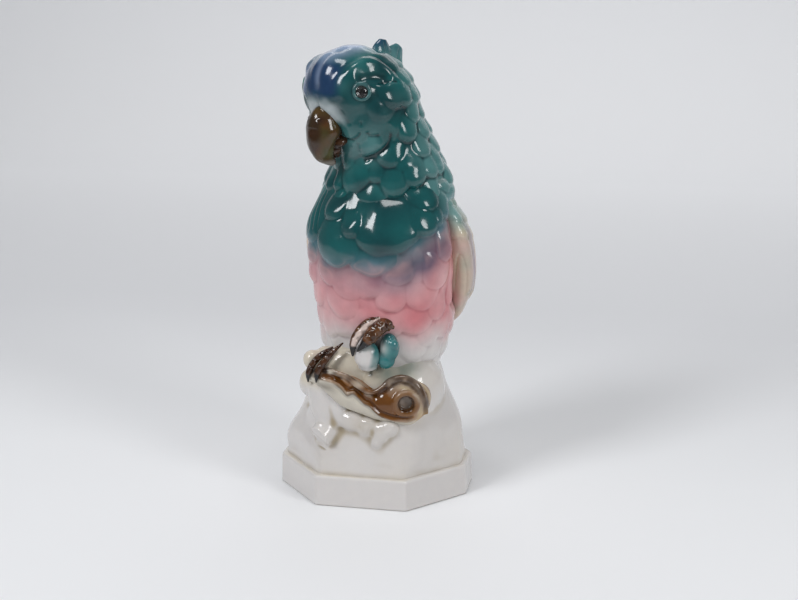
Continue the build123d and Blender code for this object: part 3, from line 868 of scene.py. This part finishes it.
def face_folds(p, tree):
    """How deep the lines and hollows of the face are at each point; a ridge is below 0."""
    folds = np.zeros(len(p))
    for side in (1, -1):
        for places, width, depth in CREASES:
            line = smooth_path([head_spot(tree, side * angle, level)[0] for angle, level in places], 12)
            distance, along = line_distance(p, line)
            folds += depth * bump(distance, width) * ease(np.minimum(along, 1 - along) / 0.22)
    forward, left, up = in_head(p)
    folds += 1.1 * bump(left, 2.6) * ease((forward - 2) / 8) * ease((up - 3) / 4) * ease((26 - up) / 4)
    folds += 0.8 * bump(left, 1) * ease((forward - 14) / 6) * bump(up + 2.5, 4)
    for side in (1, -1):
        eye = head_point(EYE_FORWARD + 4, side * (EYE_SIDE + 1.5), EYE_UP + 0.5)
        folds += 1.5 * bump(far(p, eye, (1, 1, 0.85)), 7.5)
    return folds


def make_head(material):
    """The skull and neck: brows, cheek plates and folds, and rows of scales down the nape."""
    forms = [loft(HEAD_SECTIONS, 0.8, 180, grow=-1)]
    for side in (1, -1):
        forms.append(ball(head_point(9.5, 7.6 * side, 2.8), (16.4, 16.2, 16.4), HEAD_TURN))
        forms.append(ball(head_point(7, 10.5 * side, -8.5), (12.8, 12.8, 13), HEAD_TURN))
    forms.append(ball(head_point(13.5, 0, 8), (14, 13.6, 14.5), HEAD_TURN))
    forms.append(ball(head_point(13, 0, -1), (12, 12.6, 9), HEAD_TURN))
    form = fused(forms, 0.56 * FINE)
    form.smooth(12, 0.6)
    tree = form.tree()
    p = form.points
    height = wrapped_lobes(p, COLLAR_LOBES + nape_collar(), HEAD_SECTIONS)
    for place, normal in nape_scales(tree):
        height = np.maximum(height, 2.1 * flat_lobe(p, place, normal, 12, 13.5, 4.2))
    for side in (1, -1):
        for angle, level, width, length, thick in CHEEK_PLATES:
            plate = flat_lobe(p, *head_spot(tree, side * angle, level), width, length, 4.5)
            height = np.maximum(height, thick * plate)
    folds = face_folds(p, tree)
    form.push(1.2 * height + 0.35 * cloud(p, 8, 31))
    form.smooth(4)
    form.push(-folds)
    form.smooth(1)
    make_piece("head_glazed", form, material, ["head"], head_paint(form, folds))
    return form


def head_paint(form, folds):
    """Deep blue brow and lavender crown over teal, a pale cere and paler cheeks."""
    p = form.points
    forward, left, up = in_head(p)
    hollow = form.hollow(2.2)
    teal = layered(
        TEAL,
        (TEAL_DEEP, 0.45 + 0.6 * cloud(p, 10, 32) + ease(hollow / 0.6)),
        (TEAL_PALE, 0.62 * ease((-forward - 2) / 14) - 0.6 * ease(hollow / 0.5)),
        (TEAL_DEEP, 0.75 * bump(up + 1, 11) * ease((forward + 2) / 8)),
        (TEAL_PALE, 0.55 * bump(up + 21, 8) * ease((forward - 4) / 8) + 0.15 * cloud(p, 6, 33)),
    )
    brow = ease((forward - 12.5 - 2 * cloud(p, 6, 34)) / 12) * ease((up + 1 + 1.2 * cloud(p, 4, 36)) / 6)
    brow = brow * ease((16 - left) / 7)
    crown = ease((up - 18.5 + 0.12 * forward) / 6)
    pale = crown * ease((forward + 12) / 14) * ease((14 - left) / 14)
    stripe = bump(left, 1.5) * ease((forward - 10) / 6) * ease((up - 4) / 4)
    slant = up + 0.15 * np.abs(left) + cloud(p, 4, 37)
    cere = ease((forward - 14) / 7) * ease((3 - slant) / 6) * ease((slant + 12) / 5)
    cere = cere * ease((15.5 - np.abs(left)) / 8)
    return layered(
        teal,
        (INK_BLUE, brow * (1 - 0.65 * crown)),
        (LAVENDER, 0.6 * brow * ease((-left - 7) / 8)),
        (LAVENDER, 0.85 * pale * (0.85 + 0.3 * cloud(p, 7, 35))),
        (TEAL_PALE, 0.65 * crown * (1 - ease((forward + 12) / 16))),
        (LAVENDER, 0.55 * stripe),
        (colour(178, 188, 190), 0.95 * cere),
        (TEAL_DEEP, 0.5 * ease((folds - 0.5) / 1.2) * (1 - cere)),
    )


# ---- eyes
def eye_frame(side, tree):
    """Middle of an eye on the head's skin, and its outward, side and up directions."""
    middle = Vector(head_point(0, 0, EYE_UP))
    toward = Vector(head_point(EYE_FORWARD, side * EYE_SIDE, EYE_UP)) - middle
    toward.normalize()
    place = np.array(tree.ray_cast(middle + toward * 60, -toward)[0])
    out = unit(np.array(toward) + np.array([0, 0, 0.12]))
    across = unit(np.cross((0, 0, 1), out))
    return place, out, across, np.cross(out, across)


def turned_profile(place, out, across, up, profile):
    """A form turned about the eye's axis from (radius, height) pairs."""
    t = circle(48)[:, None]
    round_axis = np.cos(t) * across + np.sin(t) * up
    return closed_rings([place + out * height + radius * round_axis for radius, height in profile])


def make_eyes(tree, lid_material, glass_material, pupil_material):
    """Glass domes over dark pupils, each in a rolled ring of glazed clay."""
    dome = [(3.15, -0.3), (3.2, 0.1)]
    dome += [(3.2 * np.cos(a), 0.2 + 1.6 * np.sin(a)) for a in np.linspace(0.1, 1.5, 12)]
    disc = [(r, 0.45 - 0.2 * np.exp(-((r / 1.6) ** 4))) for r in (3, 2.7, 2.3, 1.95, 1.7, 1.4, 0.9, 0.4)]
    t = circle(72)
    bead = 1 + 0.25 * np.sin(t)
    for name, side in (("left", 1), ("right", -1)):
        place, out, across, up = eye_frame(side, tree)
        radial = np.cos(t)[:, None] * across + np.sin(t)[:, None] * up
        rings = []
        for a in circle(14):
            reach = 3.75 + bead * np.cos(a) * 0.95
            height = 0.35 + bead * np.sin(a) * 0.9
            rings.append(place + radial * reach[:, None] + out * height[:, None])
        lid = Sculpt(np.concatenate(rings), ring_faces(len(rings), len(t), True)[:, ::-1])
        lid.push(0.1 * cloud(lid.points, 1.5, 41))
        paint = mixed(TEAL_DEEP, TEAL_PALE, 0.45 + 0.4 * cloud(lid.points, 2.5, 42))
        make_piece(f"eyelid_ring_{name}", lid, lid_material, [f"eyelid_{name}"], paint, 0.4)
        glass = turned_profile(place, out, across, up, dome)
        paint = np.tile(colour(240, 245, 244), (len(glass.points), 1))
        make_piece(f"eye_dome_{name}", glass, glass_material, [f"glass_eye_{name}"], paint, 0.4)
        pupil = turned_profile(place, out, across, up, [(3, -0.2)] + disc)
        off = pupil.points - (place - 0.35 * across - 0.35 * up)
        radius = np.hypot(off @ across, off @ up)
        paint = mixed(BLACK, colour(34, 42, 40), ease((radius - 1.8) / 0.4))
        make_piece(f"pupil_disc_{name}", pupil, pupil_material, [f"pupil_{name}"], paint, 0.4)


# ---- beak
def make_beak(material):
    """A blunt hooked upper half with a nostril and a keel, closed over a short lower half."""
    places = [(17.5, -4), (20.9, -9), (22.4, -14.8), (24.2, -21), (22.2, -26.8), (17.4, -31.4)]
    halves = [(3.6, 4.4), (7.4, 7.9), (9.2, 9), (7.8, 6.7), (5, 4.5), (2, 1.6)]
    line = [head_point(forward, 0, up) for forward, up in places]
    upper = tube(line, halves, up=np.cross(HEAD_LEFT, line[3] - line[1]), step=0.3 * FINE, columns=96)
    forward, left, up = in_head(upper.points)
    keel = bump(left, 2.2) * ease((forward - 23) / 4)
    nostril = np.hypot(np.abs(left) - 4.6, up + 9)
    dent = 0.7 * bump(nostril - 0.2, 0.6) * (up < -9) + 0.5 * bump(np.hypot(forward - 20, up + 19), 2)
    upper.push(0.55 * keel + 0.55 * bump(nostril, 1.7) - dent + 0.08 * cloud(upper.points, 3, 51))
    upper.smooth(1)
    forward, left, up = in_head(upper.points)
    # Painted shade: dark brown along the beak's outline, where its surface turns side-on to the front and the
    # bird's left
    turned_away_shade = 1 - np.clip(np.abs(upper.normals() @ unit(head_point(1, 0.8, 0) - head_point(0, 0, 0))), 0, 1)
    paint = layered(
        colour(84, 50, 20),
        (colour(60, 62, 30), 0.5 + 0.55 * cloud(upper.points, 4, 52)),
        (BROWN_DARK, 0.95 * ease((turned_away_shade - 0.35) / 0.5)),
        (BROWN_DARK, 0.9 * ease((21.5 - forward) / 4) * ease((-up - 10) / 4)),
        (BROWN_DARK, 0.8 * bump(nostril, 2.4)),
        (BROWN_DARK, 0.75 * ease((forward - 28.2) / 2.2)),
        (colour(104, 106, 74), 0.6 * bump(np.hypot(forward - 23, up + 25), 3)),
        (colour(150, 140, 132), ease((-up - 28) / 3) * ease((forward - 16) / 4)),
    )
    make_piece("beak_upper_glazed", upper, material, ["beak_upper"], paint, 0.8)
    places = [(12, -18.5), (17.5, -20.5), (18.6, -24), (15.8, -27.5)]
    line = [head_point(forward, 0, up) for forward, up in places]
    lower = tube(line, [(8.5, 4), (8.6, 3.8), (7.4, 3.6), (4, 2.4)], up=np.cross(HEAD_LEFT, (0, 0, -1)),
                 step=0.35 * FINE, columns=72)
    _, left, up = in_head(lower.points)
    lower.push(-0.7 * bump(up + 22.5 + 0.1 * np.abs(left), 0.8))
    lower.smooth(1, 0.4)
    paint = layered(
        colour(82, 52, 30),
        (BROWN_DARK, 0.45 + 0.6 * cloud(lower.points, 3, 53)),
        (BROWN_DARK, 0.9 * bump(in_head(lower.points)[2] + 22.5, 1)),
    )
    make_piece("beak_lower_glazed", lower, material, ["beak_lower"], paint, 0.8)


# ---- crest
def make_crest(material):
    """Two short upright feathers behind the crown, each puffed and split by a groove."""
    for name, root, tip, half_length, seed, blue in (
        ("crest_front", (-16.5, 15.5), (-16, 26.4), 6.2, 61, 0.95),
        ("crest_rear", (-20, 10), (-26.6, 22.6), 7.2, 62, 0.35),
    ):
        start, end = head_point(root[0], 0, root[1]), head_point(tip[0], 0, tip[1])
        bow = head_point((root[0] + tip[0]) / 2 + 1.2, 0, (root[1] + tip[1]) / 2)
        sizes = [(2.2, half_length * 0.85), (3, half_length), (1.3, half_length * 0.38)]
        flat = np.cross(HEAD_LEFT, end - start)
        form = fused([tube([start, bow, end], sizes, up=flat)], 0.4 * FINE)
        form.smooth(6)
        p = form.points
        reach = (p - start) @ unit(end - start) / np.linalg.norm(end - start)
        across = (p - start) @ unit(flat)
        groove = bump(across - 0.8 * np.sin(3 * reach), 0.7) + 0.6 * bump(across + 2.8 - 1.2 * reach, 0.6)
        form.push(-0.55 * groove * ease(reach) * ease((1.05 - reach) / 0.3) + 0.1 * cloud(p, 2, seed))
        form.smooth(1)
        paint = layered(
            TEAL_PALE,
            (INK_BLUE, ease((reach - 0.15) / 0.8) * blue),
            (TEAL, 0.4 * cloud(p, 3, seed + 5) + 0.15),
        )
        make_piece(f"{name}_feather", form, material, [name], paint, 0.8)


# ---- wings and tail
# Level, distance out from the body's middle, distance back, half-width and half-depth
WING_SECTIONS = [
    (84, 27.5, 22.5, 1.5, 4.5), (88, 29.2, 22, 3.6, 8.5), (98, 32.2, 19.4, 6, 14.8),
    (110, 34.4, 17, 7.2, 17.6), (124, 34.6, 14.8, 7.4, 18.6), (138, 33, 12, 6.9, 17),
    (148, 28.6, 10.4, 6, 14), (154, 25.8, 9.4, 4.4, 9.5), (158, 23.4, 9, 2.4, 5), (160, 22.4, 9, 0.8, 1.6),
]
# Middle between the wings, degrees that each is spread, and how much closer the hidden one is folded
WING_MIDDLE, WING_SPREAD, HIDDEN_WING_TUCK = 5.5, 25, 2.4
TAIL_SECTIONS = [(*row, BODY_TURN) for row in (
    (19, 3.9, 32.8, 2.6, 1.4), (21.5, 3.9, 32.7, 6.2, 3), (26, 4, 32.4, 9, 4.4), (45, 4.5, 31, 12, 6),
    (70, 5, 29.5, 14.5, 7.2), (95, 5.5, 28, 17, 8.2), (106, 5.7, 26.5, 14.5, 6.6), (116, 5.9, 24.5, 9, 3.5),
)]


def make_wings(material):
    """Folded wings: small feathers at the shoulder over a fan of long smooth ones."""
    levels, _, backs, _, _ = zip(*WING_SECTIONS)
    for name, side, tuck in (("wing_left", 1, 0), ("wing_right", -1, HIDDEN_WING_TUCK)):
        table = []
        for z, out, back, half_width, half_depth in WING_SECTIONS:
            x, y = turned(side * (out - tuck), back, BODY_TURN)
            table.append((z, WING_MIDDLE + x, y, half_width, half_depth, BODY_TURN + side * WING_SPREAD))
        form = loft(table, 0.5 * FINE, int(220 / FINE), grow=-0.4)
        p = form.points
        level = p[:, 2]
        x, y = turned(p[:, 0] - WING_MIDDLE, p[:, 1], -BODY_TURN)
        back = y - np.interp(level, levels, backs)
        height = np.zeros(len(p))
        for index in range(6):
            off = (back - (5.2 * index - 12.5) + (level - 120) * 0.13) / 3.3
            low = 86 + 3.4 * (5 - index)
            blade = np.sqrt(np.clip(1 - off**2, 0, 1)) * ease((level - low) / 5) * ease((142 - level) / 12)
            height = np.maximum(height, 1.5 * blade * (0.8 + 0.05 * index))
        for row, index in np.ndindex(3, 6):
            middle = -14 + 6 * index + 3 * (row % 2)
            tip = 130 + 8.6 * row + 0.25 * abs(middle)
            height = np.maximum(height, 1.9 * lobe(level - tip, back - middle, 8, 12.5, 3.2))
        form.push(height * ease((side * x - 21) / 3) + 0.12 * cloud(p, 6, 71))
        form.smooth(2)
        p = form.points
        streak = bump(back + 9, 3.5) * ease((150 - level) / 12) * ease((level - 98) / 12)
        paint = layered(
            colour(206, 196, 170),
            (colour(206, 174, 164), 0.5 + 0.6 * cloud(p, 10, 72)),
            (OLIVE, np.minimum(0.95 * ease(form.hollow(1.6) / 0.25) + 0.35 * cloud(p, 7, 73), 0.85)),
            (colour(150, 146, 166), 0.6 * streak),
            (TEAL_PALE, np.minimum(ease((p[:, 2] - 132) / 18) + 0.3 * cloud(p, 8, 74) - 0.1, 0.9)),
        )
        make_piece(f"{name}_glazed", form, material, [name], paint)


def make_tail(material):
    """A narrow tail of long feathers laid down the back of the rock."""
    form = loft(TAIL_SECTIONS, 0.6 * FINE, int(200 / FINE), grow=-0.6)
    p, level = form.points, form.points[:, 2]
    x, _ = turned(p[:, 0] - 5, p[:, 1], -BODY_TURN)
    width = np.interp(level, [22, 95], [9, 17])
    height = np.zeros(len(p))
    for index in range(-2, 3):
        off = (x / width - index * 0.4) / 0.27
        low = 20 + 7 * abs(index)
        height = np.maximum(height, 1.7 * np.sqrt(np.clip(1 - off**2, 0, 1)) * ease((level - low) / 5))
    height = height * ease((102 - level) / 10)
    for row in range(3):
        for index in range(4 - row):
            middle = (index - (3 - row) / 2) * 8
            tip = 88 + 8 * row + 0.3 * abs(middle)
            height = np.maximum(height, 2.2 * lobe(level - tip, x - middle, 9.5, 13, 3.4))
    form.push(height * (p[:, 1] > 28) + 0.12 * cloud(p, 6, 75))
    form.smooth(2)
    p = form.points
    paint = layered(
        colour(230, 218, 204),
        (OLIVE, 0.7 * ease(form.hollow(1.6) / 0.4) + 0.3 * cloud(p, 8, 76)),
        (TEAL_PALE, 0.7 * ease((p[:, 2] - 66) / 28)),
    )
    make_piece("tail_glazed", form, material, ["tail"], paint)


# ---- branch and feet
# Middle and (wide, high) radii along the branch
BRANCH_SECTIONS = [
    ((-27.5, -31.5, 67.5), (3, 3)), ((-20, -32, 66.2), (5, 4.9)), ((-13, -31.5, 62.9), (6, 6.8)),
    ((-6.5, -31, 59.3), (6.5, 8.4)), ((1.5, -30.5, 55.4), (6.8, 7.6)), ((7, -29.8, 53.6), (7.4, 8)),
    ((12.5, -29, 53.8), (8.4, 10.2)), ((20, -27, 54.6), (9.2, 12.2)), ((26.4, -24.5, 53.2), (9, 11)),
    ((30.2, -22, 51), (5, 6.5)),
]
# The raised ridge that runs along the top of the bark and round the knot
RIDGE_LINE = [
    (-22, -32, 71.5), (-13.3, -33.9, 69.8), (-6.5, -34.5, 68), (-2.8, -35.3, 65.7), (1.5, -36.2, 63),
    (6.9, -36.4, 61.4), (11.4, -35.3, 63.3), (14.8, -32.9, 66.3), (19.8, -31, 67.6), (25, -30.4, 66.2),
    (29, -30.2, 62.2), (31, -29.8, 56.5), (32, -28, 49),
]
# Along x, the level where the bark ends in a wavy bead over bare wood
BARK_EDGE = [
    (-24, 67), (-17, 66), (-12, 64.6), (-8.5, 62.3), (-5.8, 59.6), (-3, 60.2), (0, 58), (3, 55.4),
    (5.5, 54.2), (8.5, 51.2), (10.5, 49.4), (12, 48.6), (14, 47.8), (18, 46.6), (25, 46.2), (31, 47.4),
]
KNOT_CENTRE, KNOT_FACING = np.array([23.4, -35, 56.2]), unit((0.3, -0.95, 0.05))
# Grooves cut along the bark, with their depth
BARK_CUTS = [
    ([(-14, -36, 67.4), (-9.5, -36.5, 66.4), (-6, -37, 63.8), (-2, -37.5, 61.8)], 1),
    ([(-3, -37, 63.6), (1, -37.5, 60.6), (5, -37.5, 58.8), (8.5, -37.5, 59.8)], 1),
    ([(4, -37, 59.6), (9, -37, 60.8), (12.5, -36.5, 63.2), (15, -35.5, 64.4)], 0.7),
]


def make_branch(material):
    """A thick log across the front, thin at the left, with a ringed knot near its broad cut end."""
    across = unit(np.cross((0, 0, 1), KNOT_FACING))
    t = circle(39)[:, None]
    ring = KNOT_CENTRE + 5.2 * (np.cos(t) * across + np.sin(t) * np.array([0, 0, 1]))
    forms = [tube(*zip(*BRANCH_SECTIONS), step=0.6, columns=64)]
    forms += [ball(place, 1.9, columns=16) for place in ring]
    forms.append(tube(RIDGE_LINE, [1.3, 1.7, 1.6, 1.6, 1.7, 1.6, 1.7, 2, 2.2, 2.2, 2.1, 2, 1.4], columns=20))
    form = fused(forms, 0.42 * FINE)
    form.smooth(7)
    from_knot = form.points - KNOT_CENTRE
    depth = from_knot @ KNOT_FACING
    radius = np.linalg.norm(from_knot - depth[:, None] * KNOT_FACING, axis=1)
    hole = ease((3.9 - radius) / 0.8) * (depth > -6)
    form.points = form.points - KNOT_FACING * (hole * (2.6 + 0.15 * (3.6 - radius)))[:, None]
    p, (x, y, z) = form.points, form.points.T
    over = z - smooth_table(BARK_EDGE, np.clip(x, -24, 31))[:, 1]
    beaded = ease((-y - 28) / 5) * ease((x + 20) / 5) * ease((28 - x) / 5)
    cuts = (0.9 * bump(over - 2.6, 1) - 0.9 * bump(over - 0.6, 1) + 0.35 * bump(over + 1.4, 0.9)) * beaded
    for line, deep in BARK_CUTS:
        distance, along = line_distance(p, smooth_path(line, 20))
        cuts += deep * bump(distance, 0.8) * ease(np.minimum(along, 1 - along) / 0.2)
    form.push(-cuts + 0.3 * cloud(p, 6, 81) * (1 - ease((x - 30) / 2)))
    form.smooth(1)
    paint = branch_paint(form.points, cuts, over, radius, depth)
    make_piece("branch_glazed", form, material, ["branch"], paint, 0.9)


def branch_paint(p, cuts, over, radius, depth):
    """Honey bark with dark runs along its ridge and round the knot, over bare cream wood."""
    x, _, z = p.T
    ridge, _ = line_distance(p, smooth_path(RIDGE_LINE, 48))
    bark = ease((over + 0.2) / 1.2)
    pool = bump(np.hypot(x - 12, (z - 56) * 0.8), 9)
    honey = mixed(colour(130, 82, 30), BROWN, 0.9 * pool + 0.8 * ease(cuts / 0.5))
    tinted = np.clip(0.55 + 0.5 * cloud(p, 5, 84) + 0.9 * pool + 0.9 * ease(cuts / 0.4), 0, 1)
    width = np.interp(x, [-15, 6, 14], [2.4, 2.3, 3.3])
    dark = ease((width + 0.7 * cloud(p, 2.5, 85) - ridge) / 1.5) * (1 - 0.6 * bump(x - 6.5, 5))
    dark += 0.85 * bump(over - 0.2, 0.8) * ease((x + 14) / 4) * ease((14 - x) / 3)
    dark += 0.6 * bump(over + 3, 2) * bump(x + 17, 5) + 0.7 * ease((-x - 15) / 5) * bark
    band = ease((radius - 6.2) / 1.2) * bump(ridge - 4.4, 1.2) * ease((x - 18) / 4)
    front = (depth > -6) & (depth < 4)
    return layered(
        colour(206, 199, 184),
        (honey, tinted * bark),
        (BROWN_DARK, np.minimum(0.85 * dark, 0.92)),
        (colour(188, 172, 140), 0.8 * band),
        (colour(116, 78, 40), 0.85 * bump(radius - 5, 1.5) * front),
        (BROWN_DARK, 0.9 * bump(radius - 3.9, 0.6) * front),
        (colour(150, 134, 120), ease((3.5 - radius) / 0.6) * front),
        (colour(190, 150, 84), 0.6 * bump(far(p, (31, -29, 47)), 5)),
    )


# Path and radii of each toe, its rows of scales, and how far along it the claw starts
TOES = {
    "left_toe_inner": ([(15, -27, 94), (11.8, -31, 94.8), (8.6, -34.5, 92.8), (5.8, -36.8, 89.4),
                        (3, -37.8, 86.2), (-0.2, -38.2, 82.6)], [3, 3.6, 3.8, 3.4, 1.9, 0.4], 8, 0.68),
    "left_toe_outer": ([(9, -30, 97.6), (4, -33, 95.2), (0, -35, 91), (-2.4, -36, 86),
                        (-2.9, -36.2, 79.5)], [1.8, 2.7, 2.6, 2.1, 0.5], 6, 0.76),
    "right_toe_inner": ([(-9.5, -30, 84), (-13.5, -33, 80.5), (-17.5, -35, 76), (-20.8, -36.6, 70.5),
                         (-21.6, -37.4, 65)], [0.5, 1.3, 1.75, 1.6, 0.35], 6, 0.76),
    "right_toe_outer": ([(-15.5, -28.5, 80.5), (-20, -31.5, 78), (-23.8, -33.6, 74), (-25.9, -35.2, 69.5),
                         (-26.1, -35.8, 64.5)], [1, 1.6, 1.7, 1.5, 0.35], 6, 0.76),
}


def toe_form(points, radii, humps):
    """A toe with two rows of small round scales along it, and a tapering claw."""
    form = fused([tube(points, radii, step=0.3), ball(points[0], radii[0])], 0.26 * FINE)
    form.smooth(4)
    line = smooth_path(points, 60)
    distance, along = line_distance(form.points, line)
    near = np.clip((along * 59).astype(int), 0, 58)
    side = unit(np.cross(unit(line[near + 1] - line[near]), (0, -1, 0)))
    across = ((form.points - line[near]) * side).sum(1) / np.maximum(distance, 0.1)
    wave = np.cos(2 * np.pi * humps * along) * ease((0.72 - along) / 0.08)
    row = np.cos(2 * np.pi * (across + 0.5)) * 0.5 + 0.5
    form.push(0.38 * wave * row * ease(radii[1] / 2))
    form.smooth(1)
    return form, along, across


def make_toes(material):
    """Scaly toes with black claws: two over the nut and two over the thin end of the branch."""
    for name, (points, radii, humps, claw_from) in TOES.items():
        form, along, across = toe_form(points, radii, humps)
        stripe = ease((0.5 - across) / 0.25) * ease((0.86 - along) / 0.1)
        paint = layered(
            colour(100, 62, 32),
            (BROWN_DARK, 0.45 + 0.6 * cloud(form.points, 2, 91)),
            (colour(222, 202, 192), 0.92 * stripe * (name == "left_toe_outer")),
            (BROWN_DARK, np.full(len(along), 0.5 * name.startswith("right"))),
            (BLACK, ease((along - claw_from) / 0.06)),
        )
        make_piece(f"{name}_glazed", form, material, [name], paint, 0.6)


def make_nut(material):
    """A white nut with a teal tint, gripped from above."""
    form = fused([ball((3.6, -32.6, 79.2), (6.5, 6.2, 7.2)), ball((3.5, -31, 74), (5, 5.5, 3.2))], 0.4 * FINE)
    form.smooth(8)
    form.push(0.2 * cloud(form.points, 4, 92))
    p = form.points
    tint = ease((p[:, 0] - 5.5 - 1.5 * cloud(p, 3, 93)) / 4) + bump(p[:, 2] - 86, 2.5)
    paint = mixed(WHITE, colour(40, 120, 122), np.minimum(0.8 * tint + 0.15 * cloud(p, 3, 94), 0.95))
    make_piece("nut_glazed", form, material, ["nut"], paint)


def make_knuckle(material):
    """The rear knuckle of the left foot, teal over white, sinking into the rock."""
    form = fused([ball((14.2, -30, 83), (4.9, 5.4, 7.2)), ball((16.4, -32.4, 85.2), (2.9, 3, 3.4)),
                  ball((12.6, -30, 77.4), (4.6, 4.8, 5.4))], 0.4 * FINE)
    form.smooth(4)
    form.push(0.25 * cloud(form.points, 3.5, 95))
    p = form.points
    paint = layered(
        colour(44, 124, 124),
        (colour(30, 104, 108), 0.5 + 0.7 * cloud(p, 3, 96)),
        (colour(214, 210, 204), 0.75 * bump(np.hypot(p[:, 0] - 11, p[:, 2] - 84), 3.2)),
    )
    make_piece("knuckle_glazed", form, material, ["left_knuckle"], paint)


# ---- build
def main():
    make_camera()
    make_light()
    make_stage()
    white = glaze("white_glaze", 0.5, (0.62, 0.55, 0.42), 0.1, (0.86, 0.84, 0.82),
                  speckle=0.06, wave=0.03, scatter=0.1, mottle=0.25)
    body = glaze("body_glaze", 0.75, (0.5, 0.42, 0.46), 0.16, (0.66, 0.56, 0.55), scatter=0.05)
    teal = glaze("teal_glaze", 0.9, (0.25, 0.38, 0.4), 0.3, (0.3, 0.42, 0.43))
    wing = glaze("wing_glaze", pool=0.4, thin=0.2, thin_colour=(0.76, 0.72, 0.6), scatter=0.06)
    brown = glaze("brown_glaze", pool=0.5, thin=0.4, thin_colour=(0.25, 0.125, 0.035), rough=0.08)
    black = glaze("pupil_glaze", pool=0, thin=0, rough=0.2)
    make_plinth(white)
    make_rock(white)
    make_torso(body)
    head = make_head(teal)
    make_eyes(head.tree(), teal, clear_glass(), black)
    make_beak(brown)
    make_crest(teal)
    make_wings(wing)
    make_tail(wing)
    make_branch(brown)
    make_nut(white)
    make_knuckle(teal)
    make_toes(brown)


main()
